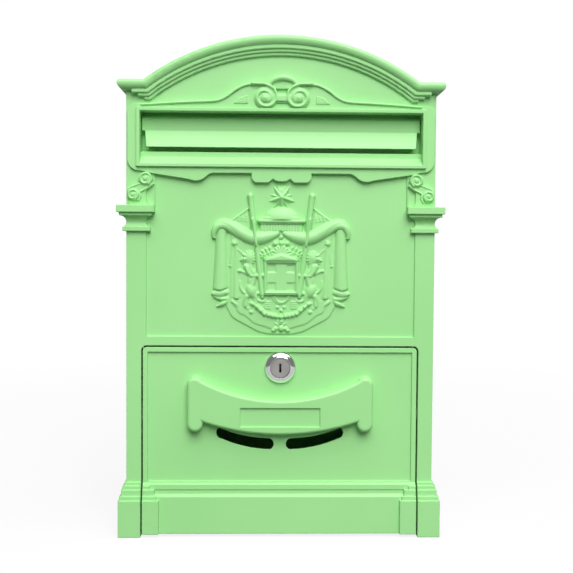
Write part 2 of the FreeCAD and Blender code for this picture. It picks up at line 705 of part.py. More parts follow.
# Bosses for the back plate's screws, which run up the side walls.
SCREW_HEIGHTS = ("screw_low", "screw_mid", "screw_high")
boss = front_sketch(case, "plate_bosses", "plate_thick + dimple_deep")
boss_hole = front_sketch(case, "plate_boss_holes", "plate_thick + dimple_deep")
for height in SCREW_HEIGHTS:
    both_sides(
        boss,
        [
            ("screw_across", f"{height} - boss_size / 2"),
            ("wall_half - case_wall + 1", f"{height} - boss_size / 2"),
            ("wall_half - case_wall + 1", f"{height} + boss_size / 2"),
            ("screw_across", f"{height} + boss_size / 2", 1),
        ],
    )
    for sign in ("", "-"):
        circle(boss_hole, f"{sign}screw_across", height, "screw_size + 2 * running_gap")
pad(case, boss, f"{FACE_BACK} - plate_thick - dimple_deep - 2")
pocket(case, boss_hole, "screw_length + 3", outward=True)

# Holes for the flap's rod and the door's pins, drilled from the sides.
rod_hole = new_sketch(case, "side", "flap_rod_hole")
circle(rod_hole, f"-({from_wall(FLAP_DEPTH)})", "flap_axis", "flap_rod + 2 * running_gap")
pocket(case, rod_hole, "2 * wall_half + 2", symmetric=True)
pin_hole = new_sketch(case, "side", "door_pin_hole")
circle(pin_hole, f"-({from_wall(PIN_DEPTH)})", "pin_axis", "pin_size + 2 * running_gap")
pocket(case, pin_hole, "2 * (wall_half + base_out_low) + 2", symmetric=True)

# Arms on the upper panel, as plain solids in their own frame: across from the middle, up from the
# panel's lower edge, and out of the panel. Each solid starts a little inside the panel.

CREST_ROOT = 0.8


def crest_slab(points, out, start=CREST_ROOT):
    """Flat form with a polygon outline."""
    corners = [V(across, start, up) for across, up in points]
    return Part.Face(Part.makePolygon(corners + corners[:1])).extrude(V(0, -(out + start), 0))


def crest_peak(points, top, out):
    """Faceted form: every side of the outline rises to one top point."""
    rim = [V(across, 0, up) for across, up in points]
    foot = [V(across, CREST_ROOT, up) for across, up in points]
    peak = V(top[0], -out, top[1])
    sides = [Part.Face(Part.makePolygon(foot + foot[:1]))]
    for index, corner in enumerate(rim):
        last = rim[index - 1]
        sides.append(Part.Face(Part.makePolygon([last, corner, peak, last])))
        sides.append(Part.Face(Part.makePolygon([last, foot[index - 1], foot[index], corner, last])))
    return Part.Solid(Part.Shell(sides))


def crest_boss(across, up, half, out):
    """Low round form: the cap of a ball."""
    radius = (half * half + out * out) / (2 * out)
    return Part.makeSphere(radius, V(across, radius - out, up))


def crest_rod(path):
    """Rounded form along points of (across, up, half width, height)."""
    radii = [(half * half + out * out) / (2 * out) for _, _, half, out in path]
    places = [V(across, radius - out, up) for (across, up, _, out), radius in zip(path, radii)]
    if len(path) == 2:
        run = places[1] - places[0]
        return Part.makeCone(radii[0], radii[1], run.Length, places[0], run)
    runs = [after - before for before, after in zip(places[:1] + places[:-1], places[1:] + places[-1:])]
    rings = [Part.makeCircle(radius, place, run) for radius, place, run in zip(radii, places, runs)]
    return Part.makeLoft([Part.Wire(ring) for ring in rings], True)


def turned(shape):
    """The same form on the other side of the middle."""
    return shape.mirror(V(0, 0, 0), V(1, 0, 0))


def zigzag(centre, radii, angles):
    """Points around a centre that lie on two radii in turn, at angles in degrees."""
    points = []
    for count, degrees in enumerate(angles):
        angle, radius = math.radians(degrees), radii[count % 2]
        points.append((centre[0] + radius * math.cos(angle), centre[1] + radius * math.sin(angle)))
    return points


CLOTH_EDGE = [
    (0.0, 2.4), (7.6, 2.6), (16.8, 4.4), (25.0, 8.4), (30.2, 11.3),
    (38.6, 15.8), (44.2, 24.7), (44.7, 44.4), (43.2, 85.8),
]
CLOTH_FIELD = [(0.0, 6.4), (13.0, 9.1), (22.5, 12.4), (29.8, 18.4), (35.4, 22.1), (40.8, 29.0), (40.2, 85.8)]
PEDIMENT = [(0.0, 62.0), (12.2, 62.0), (14.8, 65.2), (7.8, 65.8), (0.0, 67.4)]


def mirrored_outline(half):
    """Closed outline from its right half, which starts and ends in the middle or runs across it."""
    return half + [(-across, up) for across, up in reversed(half) if across]


crest_middle = [
    crest_slab(mirrored_outline(CLOTH_EDGE), 0.8),
    crest_slab(mirrored_outline(CLOTH_FIELD), 1.5),
    crest_slab(mirrored_outline(PEDIMENT), 4.8),
    crest_slab([(-17.0, 92.8), (17.0, 92.8), (17.0, 97.4), (-17.0, 97.4)], 3.4),
    crest_peak(zigzag((0, 114.0), (10.4, 4.4), [90 + 36 * step for step in range(10)]), (0, 114.0), 3.0),
    crest_peak(zigzag((0, 65.6), (8.2, 6.8), [180 - 10 * step for step in range(19)]), (0, 66.2), 3.6),
    crest_boss(0, 81.4, 1.9, 3.0),
    crest_boss(0, 77.5, 2.4, 3.2),
    crest_boss(0, 17.6, 1.6, 2.8),
    crest_boss(0, 11.4, 2.4, 2.6),
    crest_boss(0, 6.0, 2.4, 2.5),
    Part.makeTorus(6.7, 1.1, V(0, -1.2, 34.0), V(0, 1, 0)).common(Part.makeBox(20, 9, 10, V(-10, -8, 25))),
]

# The dome rises over the canopy's rim, and the canopy hangs from it in pleats.
dome = crest_boss(0, 93.1, 13.5, 4.8)
crest_middle.append(dome.common(Part.makeBox(40, 40, 20, V(-20, -20, 95.4))))
PLEATS = 15
pleat_plan = [V(-16.4, CREST_ROOT, 86.8), V(16.4, CREST_ROOT, 86.8)]
for step in range(2 * PLEATS + 1):
    pleat_plan.append(V(16.4 - 16.4 * step / PLEATS, -2.0 - 0.5 * (step % 2), 86.8))
canopy = Part.Face(Part.makePolygon(pleat_plan + pleat_plan[:1])).extrude(V(0, 0, 6.4))
crest_middle.append(canopy)

# The shield is a framed tablet with four sunk fields.
shield = crest_slab([(-13.5, 34.6), (13.5, 34.6), (13.5, 63.0), (-13.5, 63.0)], 3.9)
shield = shield.cut(crest_slab([(-12.0, 36.6), (12.0, 36.6), (12.0, 61.3), (-12.0, 61.3)], 9, -2.6))
for left in (-10.6, 2.2):
    for low in (38.6, 51.0):
        field = [(left, low), (left + 8.4, low), (left + 8.4, low + 8.2), (left, low + 8.2)]
        shield = shield.cut(crest_slab(field, 9, -2.1))
crest_middle.append(shield)

crest_side = [
    crest_rod([(49.4, 86.4, 4.3, 2.8), (50.1, 38.4, 5.9, 2.8)]),
    crest_boss(50.2, 37.4, 5.7, 2.7),
    crest_rod([(37.2, 74.9, 1.4, 2.3), (35.9, 30.9, 2.7, 2.3)]),
    crest_boss(37.7, 78.2, 2.7, 2.6),
    crest_boss(47.2, 30.0, 3.0, 1.8),
    crest_rod(
        [
            (54.9, 80.8, 1.5, 2.6), (54.6, 86.7, 2.5, 3.8), (51.6, 90.6, 3.4, 4.3), (47.0, 91.3, 3.8, 4.3),
            (42.2, 89.6, 4.0, 4.3), (36.6, 86.1, 4.3, 4.3), (30.5, 82.9, 4.6, 4.3), (24.0, 80.8, 4.8, 4.3),
            (17.5, 80.6, 4.7, 4.3), (11.0, 81.9, 4.1, 4.3), (5.5, 84.0, 3.0, 4.0), (1.6, 85.8, 1.6, 3.2),
        ]
    ),
    crest_slab([(27.4, 104.4), (40.0, 95.2), (33.6, 88.0), (25.6, 89.6)], 0.9),
    crest_rod([(25.3, 115.0, 1.6, 4.0), (15.2, 33.9, 0.9, 4.0)]),
    crest_boss(25.4, 115.6, 2.2, 4.1),
    crest_boss(26.4, 64.6, 4.9, 3.5),
    crest_boss(30.7, 63.0, 2.1, 3.7),
    crest_rod([(24.6, 61.8, 3.3, 2.9), (25.1, 39.4, 3.1, 2.7)]),
    crest_boss(24.6, 38.6, 4.8, 3.6),
    crest_rod([(27.9, 57.0, 1.7, 3.9), (24.2, 49.8, 1.2, 3.9)]),
    crest_rod([(24.8, 50.2, 1.1, 3.8), (13.4, 50.7, 0.9, 3.8)]),
    crest_rod([(27.0, 52.4, 1.2, 2.4), (33.4, 54.8, 1.0, 2.4)]),
    crest_rod([(27.8, 36.4, 2.2, 2.9), (28.9, 24.6, 1.0, 2.9)]),
    crest_rod([(22.2, 34.4, 2.3, 2.9), (19.8, 26.2, 1.0, 2.9)]),
    crest_boss(4.6, 77.2, 2.1, 2.9),
    crest_boss(4.7, 6.9, 2.3, 2.4),
    crest_rod(
        [
            (24.9, 28.0, 1.1, 2.9), (20.7, 26.6, 1.3, 3.0), (17.5, 24.0, 1.5, 3.0), (14.3, 21.2, 1.5, 3.0),
            (10.9, 19.2, 1.3, 3.0), (6.7, 18.2, 1.4, 3.0), (2.6, 17.7, 1.1, 2.9),
        ]
    ),
]

crest_bounds = Part.makeBox(124, 12, 126, V(-62, 1.2 - 12, 1.0))
crest = doc.addObject("Part::Feature", "crest")
crest_solids = crest_middle + crest_side + [turned(shape) for shape in crest_side]
crest.Shape = crest_solids[0].multiFuse(crest_solids[1:]).common(crest_bounds)
crest.setExpression("Placement.Base.y", link(f"-({from_wall(PANEL_FACE)})"))
crest.setExpression("Placement.Base.z", link("panel_bottom"))

casting = doc.addObject("Part::MultiFuse", "front_casting")
casting.Label = "front_casting"
casting.Shapes = [case, crest]
casting.Refine = False

# Back plate: flat sheet with dimples for its screws and four holes for the wall screws.

plate = new_body("back_plate")
sheet_outline = front_sketch(plate, "plate_outline", "0")
PLATE_INSET = "(case_wall + plate_gap)"
outline(sheet_outline, arched(PLATE_INSET, f"wall_half - {PLATE_INSET}", PLATE_INSET))
pad(plate, sheet_outline, "plate_thick")
dimple = front_sketch(plate, "dimples", "0")
dimple_hollow = front_sketch(plate, "dimple_hollows", "0")
plate_holes = front_sketch(plate, "screw_holes", "0")
for height in SCREW_HEIGHTS:
    for sign in ("", "-"):
        circle(dimple, f"{sign}screw_across", height, "dimple_size + 2 * plate_thick")
        circle(dimple_hollow, f"{sign}screw_across", height, "dimple_size")
        circle(plate_holes, f"{sign}screw_across", height, "screw_size + 2 * running_gap")
pad(plate, dimple, "plate_thick + dimple_deep")
pocket(plate, dimple_hollow, "dimple_deep", outward=True)
pocket(plate, plate_holes, "plate_thick + dimple_deep", outward=True)
wall_holes = front_sketch(plate, "wall_holes", "0")
for height in ("wall_hole_low", "wall_hole_high"):
    for sign in ("", "-"):
        circle(wall_holes, f"{sign}wall_hole_across", height, "wall_hole")
pocket(plate, wall_holes, "plate_thick", outward=True)

# Door: framed panel with its own plinth, the plaque with the label recess, and two viewing slots.

door = new_body("door")
leaf = front_sketch(door, "door_leaf", DOOR_BACK)
DOOR_EDGE = [
    ("-door_half", "door_low"),
    ("door_half", "door_low"),
    ("door_half", "door_high - door_corner", 0.41421),
    ("door_half - door_corner", "door_high"),
    ("-(door_half - door_corner)", "door_high", 0.41421),
    ("-door_half", "door_high - door_corner"),
]
outline(leaf, DOOR_EDGE)
pad(door, leaf, "door_wall")
flange = front_sketch(door, "door_flange", DOOR_BACK)
outline(flange, DOOR_EDGE)
box_outline(
    flange,
    "-(door_half - door_rim_wall)",
    "door_half - door_rim_wall",
    "door_base_high",
    "door_high - door_rim_wall",
)
pad(door, flange, "door_rim", inward=True)
underside = front_sketch(door, "flange_relief", f"{DOOR_BACK} - door_rim - 1")
box_outline(underside, "-(door_half + 1)", "door_half + 1", "door_low - 1", "door_base_high + 0.5")
pocket(door, underside, "door_rim + 1", outward=True)
door_panel = front_sketch(door, "door_panel", "face_depth")
DOOR_PANEL_HALF = "(door_half - door_border)"
box_outline(door_panel, f"-{DOOR_PANEL_HALF}", DOOR_PANEL_HALF, "door_panel_low", "door_high - door_border")
pocket(door, door_panel, "panel_sink")

base = new_sketch(door, "side", "door_base_profile")
outline(
    base,
    [
        (f"-({from_wall(DOOR_BACK)})", "door_low"),
        (f"-({from_wall(DOOR_BACK)})", "door_panel_low"),
        (f"-({from_wall(LOCK_SEAT)})", "door_panel_low"),
        (f"-({from_wall('face_depth + door_band_out')})", "door_band_high"),
        (f"-({from_wall('face_depth + door_band_out')})", "base_cove"),
        (f"-({from_wall('face_depth + door_band_out - 0.6')})", "base_cove - 0.6"),
        (f"-({from_wall('face_depth + door_band_out - 0.6')})", "door_base_high"),
        (f"-({from_wall('face_depth + door_base_out')})", "door_base_front"),
        (f"-({from_wall('face_depth + door_base_out')})", "door_low"),
    ][::-1],
)
pad(door, base, "2 * door_half", symmetric=True)


def door_block(name, low, high, out, inner):
    """Step of the block at each end of the door's plinth, in line with the case's own."""
    sketch = front_sketch(door, name, DOOR_BACK)
    both_sides(sketch, [(inner, low), ("door_half", low), ("door_half", high), (inner, high)])
    pad(door, sketch, f"door_wall + {out}")


door_block("door_block", "door_low", "base_low", "base_out_low", "block_inner")
door_block("door_torus", "base_low", "base_torus", "base_out_torus", "block_inner_torus")
door_block("door_cove", "base_torus", "base_cove", "base_out_cove", "block_inner_cove")
door_block("door_fillet", "base_cove", "base_fillet", "base_out_fillet", "block_inner_fillet")

# Plaque: a scroll with rolled ends and a sagging body.
roll = front_sketch(door, "plaque_rolls", LOCK_SEAT)
both_sides(
    roll,
    [
        ("plaque_body", "roll_low + 6.5", 1),
        ("plaque_roll", "roll_low + 6.5"),
        ("plaque_roll", "roll_high - 6.5", 1),
        ("plaque_body", "roll_high - 6.5"),
    ],
)
pad(door, roll, "panel_sink + plaque_out")


def roll_front(edge):
    """The front edges of the rolls."""
    box = edge.BoundBox
    return near(size(MIDDLE) - box.YMax, size("face_depth + plaque_out")) and near(box.YLength, 0)


soften(door, "plaque_roll_round", "roll_round", roll_front)
plaque = front_sketch(door, "plaque_body", LOCK_SEAT)
PLAQUE_END = "(plaque_body + roll_round + 0.2)"
PLAQUE_SAG = size(f"(plaque_low_end - plaque_low_mid) / ({PLAQUE_END})")
PLAQUE_DIP = size(f"(plaque_top_end - plaque_top_mid) / ({PLAQUE_END})")
outline(
    plaque,
    [
        (f"-({PLAQUE_END})", "plaque_low_end", PLAQUE_SAG),
        (PLAQUE_END, "plaque_low_end"),
        (PLAQUE_END, "plaque_top_end", -PLAQUE_DIP),
        (f"-({PLAQUE_END})", "plaque_top_end"),
    ],
)
pad(door, plaque, "panel_sink + plaque_out")


def plaque_front(edge):
    """The long upper and lower front edges of the plaque."""
    box = edge.BoundBox
    at_front = near(size(MIDDLE) - box.YMax, size("face_depth + plaque_out")) and near(box.YLength, 0)
    return at_front and box.XLength > size("plaque_body")


soften(door, "plaque_round", "plaque_round", plaque_front)
label = front_sketch(door, "label_recess", "face_depth + plaque_out")
box_outline(label, "-label_half", "label_half", "label_low", "label_high")
pocket(door, label, "label_sink")

windows = front_sketch(door, "viewing_slots", f"{DOOR_BACK} - 1")
both_sides(
    windows,
    [
        ("window_inner + 1.2", "window_inner_height - window_tall / 2", 0.1),
        ("window_outer - 4", "window_outer_height - window_tall / 2 + 1", 0.7),
        ("window_outer - 1.5", "window_outer_height + window_tall / 2", -0.1),
        ("window_inner + 2.5", "window_inner_height + window_tall / 2 - 1", 0.8),
    ],
)
pocket(door, windows, "door_wall + plaque_out + 2", outward=True)

# The plaque and the plinth are cored from behind.
core = front_sketch(door, "plinth_core", f"{DOOR_BACK} - 1")
box_outline(core, "-(block_inner - 4)", "block_inner - 4", "door_low + 4", "base_low - 1")
pocket(door, core, "1 + door_wall + door_base_out - 3", outward=True)

lock_hole = front_sketch(door, "lock_hole", f"{DOOR_BACK} - 1")


def flatted(diameter, flats):
    """Outline of a round with two upright flats, about the lock's axis."""
    rise = f"sqrt(({diameter}) * ({diameter}) - ({flats}) * ({flats})) / 2"
    half, up = size(f"({flats}) / 2"), size(rise)
    radius = size(f"({diameter}) / 2")
    bulge = (radius - up) / half
    return [
        (f"-({flats}) / 2", f"-({rise})", bulge),
        (f"({flats}) / 2", f"-({rise})"),
        (f"({flats}) / 2", rise, bulge),
        (f"-({flats}) / 2", rise),
    ]


outline(
    lock_hole,
    [
        (point[0], f"lock_height + {point[1]}", *point[2:])
        for point in flatted("lock_barrel + 4 * running_gap", "lock_flats + 4 * running_gap")
    ],
)
pocket(door, lock_hole, "door_wall + 2", outward=True)
door_pin_hole = new_sketch(door, "side", "pin_holes", "door_half - pin_reach - 0.5")
circle(door_pin_hole, f"-({from_wall(PIN_DEPTH)})", "pin_axis", "pin_size + 2 * running_gap")
pocket(door, door_pin_hole, "pin_reach + 1", outward=True)
door_pin_hole_left = new_sketch(door, "side", "pin_holes_left", "-(door_half - pin_reach - 0.5)")
circle(door_pin_hole_left, f"-({from_wall(PIN_DEPTH)})", "pin_axis", "pin_size + 2 * running_gap")
pocket(door, door_pin_hole_left, "pin_reach + 1")

# Slot flap: a hinge barrel, a plate that bends forward to a finger lip, and two end webs.

flap = new_body("slot_flap")
flap_barrel = new_sketch(flap, "side", "flap_barrel")
circle(flap_barrel, f"-({from_wall(FLAP_DEPTH)})", "flap_axis", "flap_eye")
pad(flap, flap_barrel, "2 * flap_half", symmetric=True)
FLAP_BACK = "face_depth - flap_back_sink"
FLAP_LIP = "face_depth - flap_lip_sink"
flap_plate = new_sketch(flap, "side", "flap_plate")
outline(
    flap_plate,
    [
        (f"-({from_wall(FLAP_BACK)})", "flap_axis"),
        (f"-({from_wall(FLAP_BACK + ' + flap_sheet')})", "flap_axis"),
        (f"-({from_wall(FLAP_BACK + ' + flap_sheet')})", "flap_bend"),
        (f"-({from_wall(FLAP_LIP)})", "flap_low"),
        (f"-({from_wall(FLAP_LIP + ' - flap_sheet')})", "flap_low"),
        (f"-({from_wall(FLAP_BACK)})", "flap_bend - flap_sheet / 2"),
    ][::-1],
)
pad(flap, flap_plate, "2 * flap_half", symmetric=True)
lip_ends = front_sketch(flap, "flap_lip_ends", f"{FLAP_BACK} - 1")
both_sides(
    lip_ends,
    [
        ("flap_lip_low_half", "flap_low - 1"),
        ("flap_half + 1", "flap_low - 1"),
        ("flap_half + 1", "flap_bend"),
        ("flap_lip_high_half", "flap_bend"),
    ],
)
pocket(flap, lip_ends, "flap_back_sink + 2", outward=True)
WEB_BACK = f"{RECESS_FLOOR} + flap_rest_gap"
for sign, side_name in (("", "right"), ("-", "left")):
    web = new_sketch(flap, "side", f"flap_web_{side_name}", f"{sign}(flap_lip_low_half - 0.4)")
    outline(
        web,
        [
            (f"-({from_wall(WEB_BACK)})", "flap_low"),
            (f"-({from_wall(WEB_BACK)})", "flap_axis - flap_eye"),
            (f"-({from_wall(FLAP_BACK + ' + 1')})", "flap_axis - flap_eye / 3"),
            (f"-({from_wall(FLAP_BACK + ' + 1')})", "flap_bend"),
            (f"-({from_wall(FLAP_LIP + ' - 1')})", "flap_low"),
        ][::-1],
    )
    pad(flap, web, "flap_sheet", inward=not sign)
flap_bore = new_sketch(flap, "side", "flap_bore")
circle(flap_bore, f"-({from_wall(FLAP_DEPTH)})", "flap_axis", "flap_rod + 2 * running_gap")
pocket(flap, flap_bore, "2 * flap_half + 2", symmetric=True)


def rod_along_x(label, diameter, start, length, depth, height):
    """Plain round rod along X, set by expressions."""
    rod = doc.addObject("Part::Cylinder", label)
    rod.Label = label
    rod.setExpression("Radius", link(f"({diameter}) / 2"))
    rod.setExpression("Height", link(length))
    rod.Placement = FreeCAD.Placement(V(0, 0, 0), TURN_TO_X)
    rod.setExpression("Placement.Base.x", link(start))
    rod.setExpression("Placement.Base.y", link(f"-({from_wall(depth)})"))
    rod.setExpression("Placement.Base.z", link(height))
    return rod


flap_hinge_rod = rod_along_x(
    "flap_hinge_rod", "flap_rod", "-wall_half + 0.3", "2 * wall_half - 0.6", FLAP_DEPTH, "flap_axis"
)
PIN_START = "(door_half - pin_reach)"
PIN_END = "(wall_half + base_out_low - pin_flush)"
PIN_LENGTH = f"{PIN_END} - {PIN_START}"
door_pin_right = rod_along_x(
    "door_hinge_pin_right", "pin_size", PIN_START, PIN_LENGTH, PIN_DEPTH, "pin_axis"
)
door_pin_left = rod_along_x(
    "door_hinge_pin_left", "pin_size", f"-{PIN_END}", PIN_LENGTH, PIN_DEPTH, "pin_axis"
)


def at_front(depth, height="lock_height", across="0"):
    """Placement that turns a piece built along +Z so that its top faces the front."""
    return FreeCAD.Placement(V(size(across), -size(from_wall(depth)), size(height)), TURN_TO_FRONT)


# Lock, built along +Z from its seat on the door and turned to the front.


def lock_piece(label, depth):
    """Body that stands at a depth on the lock's axis, facing the front."""
    body = new_body(label)
    body.Placement = at_front(depth)
    body.setExpression("Placement.Base.y", link(f"-({from_wall(depth)})"))
    body.setExpression("Placement.Base.z", link("lock_height"))
    return body


lock_case = lock_piece("lock_body", LOCK_SEAT)
barrel = new_sketch(lock_case, "plan", "barrel", "-lock_length")
outline(barrel, flatted("lock_barrel", "lock_flats"))
pad(lock_case, barrel, "lock_length")
flange_disc = new_sketch(lock_case, "plan", "lock_flange_disc")
circle(flange_disc, "0", "0", "lock_flange")
pad(lock_case, flange_disc, "lock_flange_thick")


def flange_rim(edge):
    """The outer edge of the flange's front."""
    at_front = near(edge.BoundBox.ZMin, size("lock_flange_thick"))
    return at_front and near(edge.BoundBox.XLength, size("lock_flange"))


dress(lock_case, "Chamfer", "lock_flange_bevel", "lock_bevel", flange_rim)
plug_bore = new_sketch(lock_case, "plan", "plug_bore", "lock_flange_thick + 1")
circle(plug_bore, "0", "0", "plug_size + 2 * running_gap")
pocket(lock_case, plug_bore, "lock_flange_thick + lock_length + 2")
face_bore = new_sketch(lock_case, "plan", "plug_face_bore", "lock_flange_thick + 1")
circle(face_bore, "0", "0", "plug_face + 2 * running_gap")
pocket(lock_case, face_bore, "1 + plug_face_thick + running_gap")

plug = lock_piece("lock_plug", LOCK_SEAT)
core_round = new_sketch(plug, "plan", "plug_core", "-lock_length")
circle(core_round, "0", "0", "plug_size")
pad(plug, core_round, "lock_length + lock_flange_thick - 0.4")
face_round = new_sketch(plug, "plan", "plug_face_disc", "lock_flange_thick - plug_face_thick")
circle(face_round, "0", "0", "plug_face")
pad(plug, face_round, "plug_face_thick - 0.4")
tail = new_sketch(plug, "plan", "plug_tail", "-(lock_length + stop_thick + cam_thick - 0.2)")
box_outline(tail, "-tail_square / 2", "tail_square / 2", "-tail_square / 2", "tail_square / 2")
pad(plug, tail, "stop_thick + cam_thick + 0.8")
keyway = new_sketch(plug, "plan", "keyway", "lock_flange_thick + 1")
box_outline(keyway, "-key_wide / 2", "key_wide / 2", "-key_tall / 2", "key_tall / 2")
pocket(plug, keyway, "key_deep + 1")
wafer_slots = new_sketch(plug, "side", "wafer_slots")
for count in range(4):
    along = f"-(3 + {count} * wafer_pitch)"
    box_outline(
        wafer_slots,
        "-(plug_size / 2 + 1)",
        "plug_size / 2 + 1",
        f"{along} - wafer_thick - running_gap",
        f"{along} + running_gap",
    )
pocket(plug, wafer_slots, "wafer_wide + 2 * running_gap", symmetric=True)
tail_thread = new_sketch(plug, "plan", "tail_thread", "-(lock_length + stop_thick + cam_thick + 1)")
circle(tail_thread, "0", "0", "cam_screw_size + 2 * running_gap")
pocket(plug, tail_thread, "cam_screw_length + 1.5", outward=True)

nut = lock_piece("lock_nut", f"{DOOR_BACK} - washer_thick")
hexagon = new_sketch(nut, "plan", "nut_hexagon")
SIDE_HALF = "nut_flats / 2 / sqrt(3)"
outline(
    hexagon,
    [
        ("nut_flats / 2", f"-{SIDE_HALF}"),
        ("nut_flats / 2", SIDE_HALF),
        ("0", f"2 * {SIDE_HALF}"),
        ("-nut_flats / 2", SIDE_HALF),
        ("-nut_flats / 2", f"-{SIDE_HALF}"),
        ("0", f"-2 * {SIDE_HALF}"),
    ],
)
circle(hexagon, "0", "0", "lock_barrel + 2 * running_gap")
pad(nut, hexagon, "nut_thick", inward=True)


def washer(label, depth, outer, thickness, bore):
    """Flat round washer whose front lies at a depth."""
    piece = lock_piece(label, depth)
    ring = new_sketch(piece, "plan", label + "_ring")
    circle(ring, "0", "0", outer)
    circle(ring, "0", "0", bore)
    pad(piece, ring, thickness, inward=True)
    return piece


lock_washer = washer("lock_washer", DOOR_BACK, "washer_size", "washer_thick", "lock_barrel + 2 * running_gap")

stop_washer = lock_piece("lock_stop_washer", BARREL_END)
stop_ring = new_sketch(stop_washer, "plan", "stop_ring")
circle(stop_ring, "0", "0", "stop_size")
SQUARE = "(tail_square / 2 + running_gap)"
box_outline(stop_ring, f"-{SQUARE}", SQUARE, f"-{SQUARE}", SQUARE)
pad(stop_washer, stop_ring, "stop_thick", inward=True)

cam = lock_piece("lock_cam", CAM_FRONT)
cam_strip = new_sketch(cam, "plan", "cam_strip")
outline(
    cam_strip,
    [
        ("0", "-cam_wide / 2", 1),
        ("0", "cam_wide / 2"),
        ("-(cam_reach - 3)", "cam_wide / 2"),
        ("-cam_reach", "cam_wide / 2 - 3"),
        ("-cam_reach", "-(cam_wide / 2 - 3)"),
        ("-(cam_reach - 3)", "-cam_wide / 2"),
    ],
)
box_outline(cam_strip, f"-{SQUARE}", SQUARE, f"-{SQUARE}", SQUARE)
pad(cam, cam_strip, "cam_thick", inward=True)

cam_washer = washer(
    "cam_washer", CAM_BACK, "spring_washer_size", "spring_washer_thick", "cam_screw_size + 2 * running_gap"
)

cam_screw = lock_piece("cam_screw", f"{CAM_BACK} - spring_washer_thick")
screw_shank = new_sketch(cam_screw, "plan", "cam_screw_shank")
circle(screw_shank, "0", "0", "cam_screw_size")
pad(cam_screw, screw_shank, "cam_screw_length")
head = new_sketch(cam_screw, "plan", "cam_screw_head")
circle(head, "0", "0", "1.8 * cam_screw_size")
pad(cam_screw, head, "0.6 * cam_screw_size", inward=True)
drive = new_sketch(cam_screw, "plan", "cam_screw_drive", "-0.6 * cam_screw_size - 1")
box_outline(drive, "-0.5", "0.5", "-0.7 * cam_screw_size", "0.7 * cam_screw_size")
pocket(cam_screw, drive, "1 + 0.25 * cam_screw_size", outward=True)


def group(label, solids):
    """Several alike solids under one name."""
    feature = doc.addObject("Part::Feature", label)
    feature.Label = label
    feature.Shape = Part.makeCompound(solids)
    return feature


def wafer_set():
    """Wafers in the plug, each a small plate with a window for the key."""
    plates = []
    wide, thick, tall = size("wafer_wide"), size("wafer_thick"), size("wafer_tall")
    for count in range(4):
        back = size(f"{LOCK_SEAT} - 3 - {count} * wafer_pitch - wafer_thick")
        plate_solid = Part.makeBox(wide, thick, tall, V(-wide / 2, 0, -tall / 2))
        gap_wide, gap_tall = size("key_wide + 0.6"), size("key_tall - 0.4")
        window = Part.makeBox(gap_wide, thick * 3, gap_tall, V(-gap_wide / 2, -thick, -gap_tall / 2))
        plate_solid = plate_solid.cut(window)
        rim = Part.makeCylinder(size("plug_size / 2 - 0.05"), thick * 3, V(0, -thick, 0), V(0, 1, 0))
        plate_solid = plate_solid.common(rim)
        plate_solid.translate(V(0, size(MIDDLE) - back - thick, size("lock_height")))
        plates.append(plate_solid)
    return plates


def plate_screw(across, height):
    """Pan head screw that points to the front, its head in a dimple of the back plate."""
    seat = size(f"{MIDDLE} - dimple_deep")
    start = V(across, seat, height)
    shank = Part.makeCylinder(size("screw_size / 2"), size("screw_length"), start, V(0, -1, 0))
    top = Part.makeCylinder(size("screw_head / 2"), size("screw_head_thick"), start, V(0, 1, 0))
    wide = size("screw_head + 1")
    slot = Part.makeBox(wide, 2, 1, V(across - wide / 2, seat + size("screw_head_thick / 2"), height - 0.5))
    return shank.fuse(top).cut(slot).removeSplitter()


wafers = group("lock_wafers", wafer_set())
screws = group(
    "back_plate_screws",
    [plate_screw(sign * size("screw_across"), size(height)) for height in SCREW_HEIGHTS for sign in (-1, 1)],
)


def rod_clip(side):
    """Open ring on the flap's rod, between the recess box and the side wall of the case."""
    inner, outer, thick = size("flap_rod / 2 + 0.02"), size("flap_rod / 2 + 1.5"), 0.8
    ring = Part.makeCylinder(outer, thick, V(0, 0, 0), V(1, 0, 0))
    ring = ring.cut(Part.makeCylinder(inner, thick, V(0, 0, 0), V(1, 0, 0)))
    mouth = Part.makeBox(thick, inner * 1.4, outer, V(0, -inner * 0.7, -outer))
    ring = ring.cut(mouth)
    across = size("frame_half - frame_rail + recess_wall + 0.3")
    start = across if side > 0 else -across - thick
    ring.translate(V(start, -size(from_wall(FLAP_DEPTH)), size("flap_axis")))
    return ring


clips = group("flap_rod_clips", [rod_clip(1), rod_clip(-1)])

SUB_PARTS = (
    casting,
    plate,
    screws,
    door,
    door_pin_left,
    door_pin_right,
    flap,
    flap_hinge_rod,
    clips,
    lock_case,
    plug,
    wafers,
    nut,
    lock_washer,
    stop_washer,
    cam,
    cam_washer,
    cam_screw,
)

doc.recompute()
for item in doc.Objects:
    if "Invalid" in item.State or "Error" in item.State:
        raise ValueError(f"{item.Label} failed: {item.State}")
for piece in SUB_PARTS:
    if piece.Shape.isNull() or not piece.Shape.isValid():
        raise ValueError(f"{piece.Label} has no valid shape")

os.makedirs("parts", exist_ok=True)
for piece in SUB_PARTS:
    piece.Shape.exportStep(os.path.join("parts", piece.Label + ".step"))
    print(piece.Label, len(piece.Shape.Solids), round(piece.Shape.Volume, 1))
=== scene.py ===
"""Dresses the wall mounted post box: painted casting, chrome lock, fine relief, studio and camera."""

import math

import bpy
import numpy as np
from mathutils import Matrix, Vector


